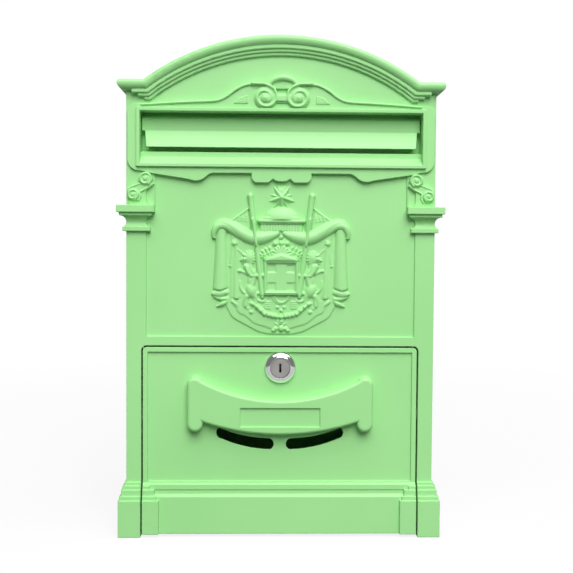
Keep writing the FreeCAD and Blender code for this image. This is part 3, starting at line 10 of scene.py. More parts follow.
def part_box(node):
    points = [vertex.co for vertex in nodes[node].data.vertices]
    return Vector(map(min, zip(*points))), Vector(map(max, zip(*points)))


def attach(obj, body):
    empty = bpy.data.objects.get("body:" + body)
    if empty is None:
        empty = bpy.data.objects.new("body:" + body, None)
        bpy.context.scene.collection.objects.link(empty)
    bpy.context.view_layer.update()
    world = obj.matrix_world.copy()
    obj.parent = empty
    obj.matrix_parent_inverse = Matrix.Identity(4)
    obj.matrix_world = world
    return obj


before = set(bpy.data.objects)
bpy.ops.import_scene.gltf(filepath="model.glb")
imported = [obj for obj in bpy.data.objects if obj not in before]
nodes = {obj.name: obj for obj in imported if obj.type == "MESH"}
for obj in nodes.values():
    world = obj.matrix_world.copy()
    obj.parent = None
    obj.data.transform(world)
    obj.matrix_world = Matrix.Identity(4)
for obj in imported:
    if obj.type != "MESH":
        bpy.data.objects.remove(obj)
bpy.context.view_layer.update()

MM = 0.001

# Depths in mm: the casting's face, the upper panel behind it, and how far a relief's flat back lies under them.
FACE_Y = -37.0
PANEL_Y = FACE_Y + 1.5
BACK_LAP = 1.2

# Height in mm of a relief where no form stands: just under the surface that it lies on.
BARE = -0.4

# Pieces into which a smooth path is cut between two given points.
CUTS = 5


# Shader maths.


class Value:
    """A socket whose + - and * add Math nodes to its tree."""

    def __init__(self, tree, socket):
        self.tree = tree
        self.socket = socket

    def joined(self, kind, first, second):
        node = self.tree.nodes.new("ShaderNodeMath")
        node.operation = kind
        for place, item in enumerate((first, second)):
            if isinstance(item, Value):
                self.tree.links.new(item.socket, node.inputs[place])
            else:
                node.inputs[place].default_value = item
        return Value(self.tree, node.outputs[0])

    def __add__(self, other):
        return self.joined("ADD", self, other)

    __radd__ = __add__

    def __sub__(self, other):
        return self.joined("SUBTRACT", self, other)

    def __rsub__(self, other):
        return self.joined("SUBTRACT", other, self)

    def __mul__(self, other):
        return self.joined("MULTIPLY", self, other)

    __rmul__ = __mul__


class Finish:
    """One material: node() adds any node, and surface() sets the main shader."""

    def __init__(self, name):
        self.material = bpy.data.materials.new(name)
        self.material.use_nodes = True
        self.tree = self.material.node_tree
        self.tree.nodes.clear()
        self.place = self.node("ShaderNodeTexCoord", outlet="Object")

    def node(self, kind, settings=(), links=(), outlet=0):
        """A node of that kind: settings first, then the values or links of its inlets, then one outlet."""
        made = self.tree.nodes.new(kind)
        for key, value in dict(settings).items():
            setattr(made, key, value)
        for key, value in dict(links).items():
            if isinstance(value, Value):
                self.tree.links.new(value.socket, made.inputs[key])
            else:
                made.inputs[key].default_value = value
        return Value(self.tree, made.outputs[outlet])

    def noise(self, scale, detail=2.0, roughness=0.5, place=None):
        links = {"Vector": place or self.place, "Scale": scale, "Detail": detail, "Roughness": roughness}
        return self.node("ShaderNodeTexNoise", {"noise_dimensions": "3D"}, links)

    def ramp(self, value, low, high):
        """0 below low and 1 above high, straight between them."""
        links = {"Value": value, "From Min": low, "From Max": high}
        return self.node("ShaderNodeMapRange", {"clamp": True}, links)

    def stretched(self, scale):
        """Object coordinates with another scale along each axis."""
        return self.node("ShaderNodeMapping", (), {"Vector": self.place, "Scale": scale})

    def blend(self, share, first, second):
        settings = {"data_type": "RGBA", "blend_type": "MIX", "clamp_factor": True}
        links = {0: share, 6: first, 7: second}
        return self.node("ShaderNodeMix", settings, links, outlet=2)

    def bump(self, height, strength, distance, over=None):
        links = {"Height": height, "Strength": strength, "Distance": distance}
        if over is not None:
            links["Normal"] = over
        return self.node("ShaderNodeBump", (), links)

    def soft_edges(self, radius):
        """Normal that rounds sharp edges by a radius in metres."""
        return self.node("ShaderNodeBevel", {"samples": 6}, {"Radius": radius}, outlet="Normal")

    def surface(self, **values):
        links = {name.replace("_", " "): value for name, value in values.items()}
        self.node_output(self.node("ShaderNodeBsdfPrincipled", (), links))
        return self.material

    def node_output(self, shader):
        out = self.tree.nodes.new("ShaderNodeOutputMaterial")
        self.tree.links.new(shader.socket, out.inputs["Surface"])


def painted_metal():
    """Satin green enamel over a casting: small tone changes, a fine skin, a few specks of grit."""
    finish = Finish("green_enamel")
    broad = finish.noise(9.0, 2.0)
    fine = finish.noise(420.0, 3.0, 0.55)
    tone = finish.blend(finish.ramp(broad, 0.3, 0.7), (0.335, 0.735, 0.282, 1), (0.365, 0.768, 0.308, 1))
    grit = finish.node("ShaderNodeTexVoronoi", {"feature": "F1"}, {"Vector": finish.place, "Scale": 55.0})
    seldom = finish.noise(31.0, 1.0)
    speck = (1 - finish.ramp(grit, 0.025, 0.06)) * finish.ramp(seldom, 0.6, 0.64)
    tone = finish.blend(speck * 0.35, tone, (0.62, 0.92, 0.58, 1))
    skin = fine * 0.6 + finish.noise(150.0, 2.0) * 0.8 + speck * 1.5
    rough = 0.42 + 0.14 * finish.noise(60.0, 3.0)
    return finish.surface(
        Base_Color=tone,
        Roughness=rough,
        Coat_Weight=0.08,
        Coat_Roughness=0.3,
        Specular_IOR_Level=0.35,
        Normal=finish.bump(skin, 0.22, 0.0003, over=finish.soft_edges(0.0009)),
    )


def chrome_plate():
    """Bright plating with a trace of haze and hair scratches."""
    finish = Finish("bright_chrome")
    haze = finish.noise(300.0, 3.0)
    scratch = finish.noise(90.0, 2.0, place=finish.stretched((1.0, 1.0, 14.0)))
    return finish.surface(
        Base_Color=(0.80, 0.80, 0.82, 1),
        Metallic=1.0,
        Roughness=0.07 + 0.10 * haze,
        Normal=finish.bump(scratch, 0.06, 0.0002),
    )


def brushed(name, dark, light, rough):
    """Plain metal with fine brushing along one way and cloudy tone."""
    finish = Finish(name)
    cloud = finish.noise(45.0, 3.0)
    lines = finish.noise(260.0, 2.0, place=finish.stretched((0.08, 1.0, 1.0)))
    return finish.surface(
        Base_Color=finish.blend(finish.ramp(cloud, 0.35, 0.65), dark, light),
        Metallic=1.0,
        Roughness=rough - 0.08 + 0.18 * lines,
        Normal=finish.bump(lines, 0.12, 0.0002),
    )


GREEN = painted_metal()
CHROME = chrome_plate()
PLUG = brushed("zinc_plug", (0.30, 0.29, 0.28, 1), (0.46, 0.45, 0.43, 1), 0.42)
STEEL = brushed("plain_steel", (0.48, 0.48, 0.50, 1), (0.62, 0.62, 0.64, 1), 0.36)
ZINC = brushed("zinc_plating", (0.56, 0.57, 0.60, 1), (0.70, 0.70, 0.70, 1), 0.34)
# The wafers' brass is coloured nearly black: painted shade at the foot of the keyway.
PAINTED_SHADE_BRASS = brushed("wafer_brass_painted_shade", (0.05, 0.04, 0.02, 1), (0.10, 0.08, 0.04, 1), 0.45)
# Steel coloured nearly black: painted shade on the hinge pins, flap rod and clips in their gaps, and on the ring in
# the lock's gap.
PAINTED_SHADE_STEEL = brushed("steel_painted_shade", (0.03, 0.03, 0.03, 1), (0.07, 0.07, 0.07, 1), 0.5)

COATS = {
    "front_casting": GREEN,
    "back_plate": GREEN,
    "door": GREEN,
    "slot_flap": GREEN,
    "back_plate_screws": ZINC,
    # Pins, rod and clips get the near black steel: painted shade in the gaps they sit in.
    "door_hinge_pin_left": PAINTED_SHADE_STEEL,
    "door_hinge_pin_right": PAINTED_SHADE_STEEL,
    "flap_hinge_rod": PAINTED_SHADE_STEEL,
    "flap_rod_clips": PAINTED_SHADE_STEEL,
    "lock_body": CHROME,
    "lock_plug": PLUG,
    "lock_wafers": PAINTED_SHADE_BRASS,
    "lock_nut": ZINC,
    "lock_washer": STEEL,
    "lock_stop_washer": STEEL,
    "lock_cam": ZINC,
    "cam_washer": STEEL,
    "cam_screw": STEEL,
}

for name, coat in COATS.items():
    mesh = nodes[name].data
    mesh.materials.clear()
    mesh.materials.append(coat)


# Relief on a grid.


def segment_distance(x, z, a, b):
    """Distance from each grid point to the straight line a to b, and the share of the way along it."""
    dx = b[0] - a[0]
    dz = b[1] - a[1]
    along = np.clip(((x - a[0]) * dx + (z - a[1]) * dz) / (dx * dx + dz * dz), 0, 1)
    return np.hypot(x - a[0] - along * dx, z - a[1] - along * dz), along


def smooth_path(rows):
    """Rows on a cubic through the given rows, whose slope at a row is half the step between its neighbours."""
    rows = np.array(rows, float)
    full = np.vstack([2 * rows[0] - rows[1], rows, 2 * rows[-1] - rows[-2]])
    before, here, there, after = full[:-3], full[1:-2], full[2:-1], full[3:]
    t = (np.arange(CUTS) / CUTS)[None, :, None]
    before, here, there, after = (part[:, None, :] for part in (before, here, there, after))
    bend = 2 * before - 5 * here + 4 * there - after
    twist = 3 * here - before - 3 * there + after
    path = here + 0.5 * ((there - before) * t + bend * t ** 2 + twist * t ** 3)
    return np.vstack([path.reshape(-1, rows.shape[1]), rows[-1]])


def spiral(centre, turns, half):
    """Rows of a curl round centre: each turn is an angle in degrees and a radius."""
    return [(centre[0] + far * math.cos(math.radians(angle)), centre[1] + far * math.sin(math.radians(angle)), half)
            for angle, far in turns]


class Relief:
    """Heights over a grid of x and z, in mm. Each form raises the field to the larger of the two."""

    def __init__(self, xs, zs):
        self.xs = xs
        self.zs = zs
        self.x, self.z = np.meshgrid(xs, zs, indexing="ij")
        self.h = np.full(self.x.shape, BARE)

    def window(self, path, reach):
        """The part of the grid within reach of a path."""
        low = np.searchsorted(self.xs, path[:, 0].min() - reach)
        high = np.searchsorted(self.xs, path[:, 0].max() + reach)
        under = np.searchsorted(self.zs, path[:, 1].min() - reach)
        over = np.searchsorted(self.zs, path[:, 1].max() + reach)
        return slice(low, high), slice(under, over)

    def sides(self, rows, both):
        """The rows as they are, and with x turned round where a form stands on both sides."""
        rows = np.array(rows, float)
        return (rows, rows * ([-1] + [1] * (rows.shape[1] - 1))) if both else (rows,)

    def raise_to(self, area, height, where):
        """Lifts the field in an area to a height, where that is higher."""
        self.h[area] = np.where(where, np.maximum(self.h[area], height), self.h[area])

    def blob(self, centre, radii, top, turn=0.0, lift=0.0, both=True):
        """Half ellipsoid: lift + top times the root of 1 - u^2 - v^2, u and v being turned and scaled."""
        for side, rows in enumerate(self.sides([centre], both)):
            area = self.window(rows, max(radii))
            angle = math.radians(-turn if side else turn)
            x = self.x[area] - rows[0, 0]
            z = self.z[area] - rows[0, 1]
            u = (x * math.cos(angle) + z * math.sin(angle)) / radii[0]
            v = (z * math.cos(angle) - x * math.sin(angle)) / radii[1]
            inside = np.maximum(1 - u * u - v * v, 0)
            self.raise_to(area, lift + top * np.sqrt(inside), inside > 0)

    def rod(self, points, top, lift=0.0, both=True):
        """Rounded bar on a smooth path of (x, z, half width): lift + top times the root of 1 - (far / half)^2,
        lower by (half / widest)^0.7 where the bar is thinner."""
        for rows in self.sides(points, both):
            path = smooth_path(rows)
            widest = path[:, 2].max()
            area = self.window(path, widest)
            for a, b in zip(path, path[1:]):
                far, along = segment_distance(self.x[area], self.z[area], a, b)
                half = a[2] + (b[2] - a[2]) * along
                inside = np.maximum(1 - (far / half) ** 2, 0)
                height = lift + top * (half / widest) ** 0.7 * np.sqrt(inside)
                self.raise_to(area, height, inside > 0)

    def groove(self, points, depth, both=True):
        """Furrow on a smooth path of (x, z, half width): lowers the field by depth times e^(-2 (far / half)^2)."""
        for rows in self.sides(points, both):
            path = smooth_path(rows)
            area = self.window(path, 2.5 * path[:, 2].max())
            cut = np.zeros_like(self.h[area])
            for a, b in zip(path, path[1:]):
                far, along = segment_distance(self.x[area], self.z[area], a, b)
                half = a[2] + (b[2] - a[2]) * along
                cut = np.maximum(cut, depth * np.exp(-2 * (far / half) ** 2))
            self.h[area] -= cut

    def inner(self, outline):
        """Signed distance to a closed outline, above zero inside it."""
        near = np.full(self.h.shape, 1e9)
        odd = np.zeros(self.h.shape, bool)
        for a, b in zip(outline, np.roll(outline, -1, axis=0)):
            near = np.minimum(near, segment_distance(self.x, self.z, a, b)[0])
            crosses = (a[1] > self.z) != (b[1] > self.z)
            rise = b[1] - a[1] if b[1] != a[1] else 1e-9
            odd ^= crosses & (self.x < (b[0] - a[0]) * (self.z - a[1]) / rise + a[0])
        return np.where(odd, near, -near)

    def slab(self, outline, top, edge, base=0.0, both=False):
        """Flat plate with a rolled edge: base + (top - base) times the root of 1 - (1 - deep)^2, deep being the
        distance inside the outline over the width edge, up to 1."""
        for rows in self.sides(outline, both):
            deep = np.clip(self.inner(rows) / edge, 0, 1)
            self.raise_to(..., base + (top - base) * np.sqrt(1 - (1 - deep) ** 2), deep > 0)

    def press(self, outline, depth, edge, both=False):
        """Sinks the field inside an outline by depth, with a soft edge."""
        for rows in self.sides(outline, both):
            self.h = self.h - depth * np.clip(self.inner(rows) / edge, 0, 1)

    def soften(self):
        """Each height becomes half of its own and a quarter of each neighbour's, along x and then along z."""
        self.h[1:-1] = 0.25 * (self.h[:-2] + self.h[2:]) + 0.5 * self.h[1:-1]
        self.h[:, 1:-1] = 0.25 * (self.h[:, :-2] + self.h[:, 2:]) + 0.5 * self.h[:, 1:-1]


def add_piece(name, points, faces, rounded, coat, body):
    """A new piece from points in mm and faces, the first of which, as many as rounded says, are smooth."""
    mesh = bpy.data.meshes.new(name)
    mesh.from_pydata((points * MM).tolist(), [], faces)
    mesh.polygons.foreach_set("use_smooth", [True] * rounded + [False] * (len(faces) - rounded))
    mesh.update()
    piece = bpy.data.objects.new(name, mesh)
    bpy.context.scene.collection.objects.link(piece)
    mesh.materials.append(coat)
    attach(piece, body)


def closed_field(name, relief, face):
    """Closed relief: at each (x, z) the front lies at y = face - height, the back is one flat face at
    y = face + BACK_LAP, and four strips join the two along the border."""
    wide = len(relief.xs)
    high = len(relief.zs)
    front = np.stack([relief.x, face - relief.h, relief.z], -1).reshape(-1, 3)
    index = np.arange(wide * high).reshape(wide, high)
    ring = np.concatenate([index[:-1, 0], index[-1, :-1], index[:0:-1, -1], index[0, :0:-1]])
    rear = front[ring].copy()
    rear[:, 1] = face + BACK_LAP
    low = np.arange(len(ring)) + wide * high
    quads = np.stack([index[:-1, :-1], index[1:, :-1], index[1:, 1:], index[:-1, 1:]], -1).reshape(-1, 4)
    strips = np.stack([np.roll(ring, -1), ring, low, np.roll(low, -1)], -1)
    faces = quads.tolist() + strips.tolist() + [low[::-1].tolist()]
    add_piece(name, np.concatenate([front, rear]), faces, len(quads), GREEN, "casing")


def whole_outline(half):
    """An outline whose left half is given from top to bottom, closed by its mirror image."""
    return half + [(-x, z) for x, z in half[-2::-1]]


def cloth(r):
    """Cloth behind everything, with a raised inner field."""
    r.slab(whole_outline([
        (-44.0, 252.0), (-45.5, 210.0), (-45.0, 190.0), (-41.7, 183.5), (-39.3, 180.7), (-35.7, 178.4),
        (-30.9, 176.0), (-25.8, 173.2), (-21.4, 170.8), (-17.4, 169.1), (-12.6, 167.9), (-7.8, 167.3),
        (0.0, 167.1)]), 1.0, 1.1)
    r.slab(whole_outline([
        (-40.9, 252.0), (-41.5, 194.0), (-36.6, 190.0), (-36.2, 187.1), (-33.4, 184.3), (-30.2, 183.2),
        (-26.6, 180.4), (-23.0, 177.2), (-19.4, 175.4), (-13.4, 173.9), (-9.0, 172.4), (0.0, 171.4)]),
        1.7, 1.0, base=1.0)


def rolls(r):
    """Side rolls, the ribbon folds under them, and the thin rolls with their balls and strings."""
    r.rod([(-48.8, 252.5, 4.2), (-49.1, 228.6, 5.2), (-49.7, 204.6, 6.3)], 4.0)
    r.groove([(-56.4, 204.6, 0.8), (-50.0, 202.9, 1.1), (-43.4, 205.4, 0.8)], 1.5)
    r.rod([(-55.3, 201.0, 2.1), (-49.7, 200.4, 2.7), (-44.6, 202.0, 2.0)], 3.2)
    r.rod([(-55.0, 198.4, 1.1), (-49.4, 196.9, 2.2), (-44.6, 196.9, 1.9)], 2.6)
    r.rod([(-44.9, 194.9, 2.0), (-46.8, 193.4, 2.4), (-49.6, 191.9, 1.9), (-52.6, 190.4, 0.9)], 2.6)
    r.groove([(-54.0, 196.0, 0.5), (-49.4, 194.6, 0.7), (-45.4, 195.2, 0.6)], 1.1)
    r.rod([(-38.1, 239.6, 1.1), (-37.1, 218.8, 2.1), (-36.6, 197.4, 2.9)], 2.4, lift=0.5)
    r.groove([(-40.0, 197.0, 0.6), (-36.6, 196.0, 0.8), (-33.4, 197.0, 0.6)], 1.2)
    r.blob((-38.2, 242.4), (2.8, 2.8), 3.0, lift=0.4)
    r.rod([(-37.0, 238.4, 0.7), (-33.6, 235.8, 0.7), (-30.6, 232.5, 0.8)], 1.0, lift=1.4)
    r.rod([(-40.3, 234.6, 0.7), (-41.5, 225.7, 0.8)], 0.9, lift=1.2)
    r.blob((-41.7, 223.9), (1.2, 1.2), 1.2, lift=1.1)
    r.rod([(-40.3, 194.6, 1.1), (-36.8, 192.5, 1.4), (-34.8, 190.1, 0.9)], 1.3, lift=0.9)


def swags(r):
    """Long swag over each side, and a pennant with a small lattice behind it."""
    r.rod([
        (-55.1, 247.4, 1.0), (-54.9, 251.4, 1.8), (-53.4, 255.8, 2.8), (-49.9, 258.6, 3.5), (-45.0, 258.3, 4.1),
        (-39.1, 255.2, 4.8), (-33.1, 251.3, 5.4), (-27.1, 248.1, 5.8), (-21.2, 246.7, 6.0), (-15.2, 247.1, 5.7),
        (-9.3, 248.5, 4.6), (-4.8, 250.0, 3.2), (-0.7, 251.6, 1.3)], 5.4)
    r.slab([(-27.3, 270.9), (-41.0, 260.9), (-34.0, 252.0), (-24.6, 254.0)], 1.3, 0.9, both=True)
    r.rod([(-27.0, 271.0, 0.8), (-34.0, 265.8, 0.8), (-41.0, 260.9, 0.8)], 1.0, lift=0.9)
    for step in range(3):
        r.rod([(-35.2 + 3.1 * step, 261.0, 0.5), (-34.6 + 3.1 * step, 264.4 + 0.5 * step, 0.5)], 0.9, lift=1.1)
    for level in (261.6, 263.6):
        r.rod([(-36.2, level, 0.45), (-27.0, level - 1.2, 0.45)], 0.7, lift=1.1)


def canopy(r):
    """Dome, cut flat at its rim, two rings, a pleated valance with a scalloped hem, and the swags' ends over it."""
    r.blob((0.1, 261.4), (14.4, 11.2), 5.6, both=False)
    r.h[(r.z < 261.8) & (r.z > 246.0) & (np.abs(r.x) < 14.6)] = 0.6
    r.rod([(-15.0, 263.1, 0.8), (15.0, 263.1, 0.8)], 0.9, lift=3.6, both=False)
    r.rod([(-18.0, 260.8, 1.7), (18.2, 260.6, 1.7)], 1.3, lift=3.4, both=False)
    hem = 251.7 + 0.9 * np.abs(np.sin((r.x + 16.5) * math.pi / 2.9))
    pleats = 3.0 + 0.42 * np.sin(r.x * 2 * math.pi / 2.3) - 0.06 * (r.z - 252)
    hangs = (r.z < 259.4) & (r.z > hem) & (np.abs(r.x) < 17.4)
    r.raise_to(..., pleats, hangs)
    r.rod([(-15.2, 247.1, 5.7), (-9.3, 248.5, 4.6), (-4.8, 250.0, 3.2), (-0.7, 251.6, 1.3)], 5.2)


def fan(r, foot, reach, angles, half, top, lift):
    """Rays from a foot to an ellipse of the given reaches, one at each angle in degrees."""
    for angle in angles:
        tip = (foot[0] + reach[0] * math.cos(math.radians(angle)),
               foot[1] + reach[1] * math.sin(math.radians(angle)), half)
        r.rod([(*foot, 1.0), tip], top, lift=lift, both=False)


def star(r):
    """Star over the dome with a fan of rays: along each arm u and across it v, the height is 0.2 + 4.6 times
    1 - u / long - v / wide, which makes a ridged wedge."""
    x, z = 0.3, 280.2
    long, wide = 12.4, 4.6
    for arm in range(5):
        turn = math.radians(-90 + 72 * arm)
        u = (r.x - x) * math.cos(turn) + (r.z - z) * math.sin(turn)
        v = np.abs(-(r.x - x) * math.sin(turn) + (r.z - z) * math.cos(turn))
        inside = np.maximum(1 - u / long - v / wide, 0)
        r.raise_to(..., 0.2 + 4.6 * inside, (u > -0.5) & (inside > 0))
    fan(r, (x, z), (9.4, 9.4), range(70, 111, 10), 0.5, 1.6, 1.2)


def poles(r):
    """Crossed poles in front of the swags, with two balls at each foot."""
    r.rod([(-25.3, 280.8, 2.0), (-25.1, 277.4, 1.7), (-24.8, 269.4, 1.6), (-23.4, 261.0, 1.4)], 2.6, lift=1.8)
    r.rod([(-23.6, 262.0, 1.4), (-22.2, 254.6, 1.3), (-20.4, 240.8, 1.1)], 1.8, lift=4.4)
    r.rod([(-20.4, 241.0, 1.1), (-17.6, 219.0, 1.0), (-15.6, 200.0, 0.9)], 1.3, lift=2.9)
    r.blob((-15.2, 198.4), (1.6, 1.6), 2.2, lift=1.8)
    r.blob((-18.5, 201.3), (1.6, 1.6), 2.0, lift=1.6)


def supporters(r):
    """A lion on each side: mane, muzzle, brow, chest, fore legs, haunch, hind legs, tail."""
    r.blob((-25.9, 230.4), (4.8, 5.6), 3.0, turn=-15, lift=0.9)
    for lock in range(9):
        angle = math.radians(-95 + 27 * lock)
        start = (-26.6 + 1.6 * math.cos(angle), 230.2 + 2.0 * math.sin(angle), 1.3)
        end = (-26.0 + 4.7 * math.cos(angle + 0.4), 230.2 + 5.6 * math.sin(angle + 0.4), 0.8)
        r.rod([start, end], 1.2, lift=2.4)
    r.blob((-30.4, 229.6), (2.4, 2.3), 3.4, lift=1.0)
    r.blob((-32.2, 228.4), (1.4, 1.2), 2.4, lift=1.4)
    r.blob((-31.2, 226.2), (1.7, 0.8), 1.6, turn=-10, lift=1.4)
    r.blob((-29.8, 232.4), (1.7, 1.0), 2.9, turn=-30, lift=1.4)
    r.groove([(-32.0, 230.9, 0.5), (-30.6, 231.2, 0.5)], 1.3)
    r.groove([(-33.2, 227.2, 0.5), (-30.6, 227.4, 0.5)], 1.2)
    r.blob((-26.2, 222.2), (3.9, 6.0), 2.8, turn=14, lift=0.8)
    r.blob((-24.6, 212.0), (3.3, 8.0), 2.5, turn=-4, lift=0.8)
    r.blob((-24.4, 203.6), (4.7, 6.6), 3.6, turn=16, lift=0.8)
    r.rod([(-27.4, 224.0, 1.6), (-22.4, 218.0, 2.4), (-22.6, 211.0, 2.2), (-25.4, 204.0, 2.8)], 3.0, lift=1.0)
    r.rod([(-29.0, 223.6, 2.0), (-27.4, 219.6, 1.9), (-24.4, 216.2, 1.5), (-19.0, 215.8, 1.2),
           (-13.9, 216.0, 1.1)], 3.2, lift=1.2)
    r.blob((-34.0, 219.8), (1.9, 1.3), 2.2, lift=1.1)
    r.rod([(-34.0, 219.6, 1.1), (-30.6, 218.8, 1.2), (-27.4, 217.0, 1.3)], 1.8, lift=1.0)
    r.rod([(-28.0, 199.0, 2.6), (-30.1, 194.5, 1.5), (-29.4, 190.2, 1.1), (-26.8, 188.8, 1.1)], 2.5, lift=1.0)
    r.blob((-24.3, 185.9), (1.9, 1.6), 2.0, turn=-35, lift=1.1)
    r.rod([(-21.4, 199.6, 2.4), (-19.2, 195.6, 1.5), (-15.2, 194.9, 1.2)], 2.4, lift=1.1)
    r.rod([(-33.7, 211.4, 0.7), (-33.2, 206.4, 1.0), (-31.4, 203.0, 1.0), (-28.8, 201.4, 0.9)], 1.7, lift=1.2)


def shield(r):
    """Shield in a frame, quartered by a broad plain cross, with a pediment, a fan and small leaves over it."""
    r.slab([(-14.4, 200.4), (14.9, 200.4), (14.9, 228.4), (-14.4, 228.4)], 4.5, 1.0)
    r.press([(-12.2, 202.6), (12.7, 202.6), (12.7, 226.6), (-12.2, 226.6)], 1.5, 0.6)
    for low, high in ((203.4, 210.4), (218.6, 225.8)):
        for left, right in ((-11.2, -4.0), (4.4, 11.7)):
            r.press([(left, low), (right, low), (right, high), (left, high)], 0.75, 0.6)
    r.slab([(-15.9, 229.4), (-13.6, 226.9), (14.0, 226.9), (16.4, 229.4), (9.4, 232.2), (0.3, 235.0),
            (-8.8, 232.2)], 5.6, 2.4)
    fan(r, (0.3, 232.2), (7.4, 7.8), range(10, 171, 20), 1.15, 1.9, 2.2)
    r.blob((0.2, 247.6), (1.7, 1.8), 2.6, lift=0.9, both=False)
    r.blob((0.2, 242.4), (2.6, 2.6), 3.4, lift=0.9, both=False)
    r.blob((-4.9, 242.2), (2.3, 2.3), 3.0, lift=0.9)
    for leaf, (x0, z0, x1, z1) in enumerate((
            (-8.4, 235.4, -9.8, 239.2), (-11.2, 234.0, -12.9, 238.0), (-13.8, 232.8, -15.9, 236.4),
            (-15.9, 231.2, -18.0, 234.2), (-9.6, 232.8, -11.0, 234.8), (-12.6, 231.6, -14.2, 233.2))):
        r.rod([(x0, z0, 1.0), (x0 - 0.2, z0 + 1.8, 1.15), (x1, z1, 0.8)], 1.7 - 0.05 * leaf, lift=1.6)
        r.blob((x1 + 0.5, z1 - 0.3), (1.25, 0.85), 1.9, turn=25 * (leaf % 3 - 1), lift=1.7)
        r.groove([(x0 - 1.1, z0 + 1.0, 0.35), (x0 + 0.9, z0 + 1.6, 0.35)], 0.9)


def garland(r):
    """Under the shield: half ring, beads, stacked bars, knotted garland and a three lobed flower."""
    half_turn = [(angle, 5.6) for angle in np.linspace(180, 360, 9)]
    r.rod(spiral((0.5, 199.4), half_turn, 0.9), 1.4, lift=1.5, both=False)
    r.blob((-2.7, 189.9), (1.4, 1.3), 1.7, lift=1.4)
    r.blob((0.4, 187.2), (1.4, 1.4), 1.8, lift=1.4, both=False)
    for level in (194.3, 192.6, 190.9, 189.2):
        r.rod([(-13.2, level, 0.7), (-8.7, level, 0.7)], 1.1, lift=1.4)
    r.rod([(-20.4, 197.2, 0.9), (-18.0, 195.4, 1.0), (-14.8, 194.4, 1.0), (-12.8, 196.4, 0.8)], 1.2, lift=1.5)
    r.rod([(-24.9, 193.2, 1.2), (-21.4, 191.8, 1.7), (-17.9, 188.8, 2.0), (-13.9, 185.1, 1.9)], 2.4, lift=1.3)
    r.rod([(-13.0, 184.3, 1.5), (-8.9, 183.3, 1.7), (-4.9, 182.5, 1.8), (-1.4, 182.0, 1.5)], 2.2, lift=1.3)
    for x, z, tilt in ((-22.9, 192.6, -15), (-19.4, 190.2, -35), (-16.0, 187.2, -40), (-12.9, 184.4, -30),
                       (-9.9, 183.5, -12), (-6.9, 182.9, -10), (-3.9, 182.4, -8), (-0.1, 181.9, 0)):
        r.blob((x, z), (1.0, 2.0), 2.9, turn=tilt, lift=1.6)
        r.groove([(x + 1.5, z - 2.2, 0.4), (x + 1.5, z + 1.6, 0.4)], 0.8)
    r.blob((0.4, 178.2), (1.5, 1.7), 2.0, lift=1.3, both=False)
    r.blob((0.5, 172.4), (2.3, 2.8), 2.2, lift=1.2, both=False)
    r.blob((-5.0, 171.6), (3.0, 1.9), 2.1, turn=35, lift=1.0)
    r.rod([(-2.0, 175.4, 0.7), (-4.6, 176.8, 0.7)], 1.0, lift=1.3)
    r.groove([(-3.0, 170.4, 0.5), (-6.6, 172.6, 0.4)], 0.9)


def arms_relief():
    """The relief of arms on the upper panel, from its cloth to the garland in front."""
    step = 0.42
    r = Relief(np.arange(-60.0, 60.01, step), np.arange(164.5, 293.5, step))
    for form in (cloth, rolls, swags, canopy, star, poles, supporters, shield, garland):
        form(r)
    r.soften()
    return r


closed_field("arms_relief", arms_relief(), PANEL_Y)


def head_relief(left, right, top):
    """The scroll over the letter slot, between two x and up to a height: a rib that runs along the plate and
    curls into a volute on each side, a bar between the volutes and a cap over them."""
    step = 0.4
    r = Relief(np.linspace(left, right, round((right - left) / step)), np.arange(352.8, top, step))
    centre = (-13.6, 360.4)
    turns = ((90, 11.2), (45, 10.2), (0, 9.0), (-45, 7.6), (-90, 6.5), (-135, 6.5), (-180, 6.8), (-225, 6.5),
             (-270, 5.8), (-315, 5.0), (-360, 4.3), (-400, 3.7))
    r.blob(centre, (9.4, 9.4), 0.4, lift=3.35)
    r.rod([(-114.0, 354.2, 1.2), (-90.0, 355.9, 1.3), (-71.2, 357.0, 1.4), (-57.0, 357.7, 1.4),
           (-50.5, 358.8, 1.4), (-44.4, 362.0, 1.5), (-38.2, 366.8, 1.5), (-29.9, 370.9, 1.5),
           (-21.5, 372.2, 1.5)], 1.5, lift=2.1)
    r.rod([(-24.0, 372.2, 1.5), (-19.0, 372.0, 1.5)] + spiral(centre, turns, 1.35), 1.7, lift=3.4)
    r.blob(centre, (3.6, 3.6), 0.8, lift=4.65)
    r.blob(centre, (2.0, 2.0), 1.0, lift=4.9)
    r.slab([(-8.0, 356.8), (8.0, 356.8), (8.0, 363.9), (-8.0, 363.9)], 4.3, 1.6)
    r.rod([(-11.0, 371.4, 1.9), (-6.4, 375.4, 2.4), (0.8, 377.1, 2.7), (8.0, 375.4, 2.4), (12.6, 371.4, 1.9)],
          2.4, lift=2.4, both=False)
    r.slab([(-40.2, 355.7), (-27.3, 355.8), (-27.3, 363.0), (-34.0, 361.4)], 2.9, 0.7, base=1.8, both=True)
    r.press([(-38.0, 356.5), (-28.1, 356.6), (-28.1, 361.9), (-33.6, 360.6)], 0.5, 0.4, both=True)
    for level in (358.0, 359.6):
        r.rod([(-36.0, level, 0.5), (-28.4, level + 0.2, 0.5)], 0.6, lift=2.3)
    r.soften()
    return r


closed_field("head_scroll", head_relief(-79.0, 79.0, 381.0), FACE_Y)
closed_field("head_rib_left", head_relief(-115.4, -79.0, 358.6), FACE_Y)
closed_field("head_rib_right", head_relief(79.0, 115.4, 358.6), FACE_Y)


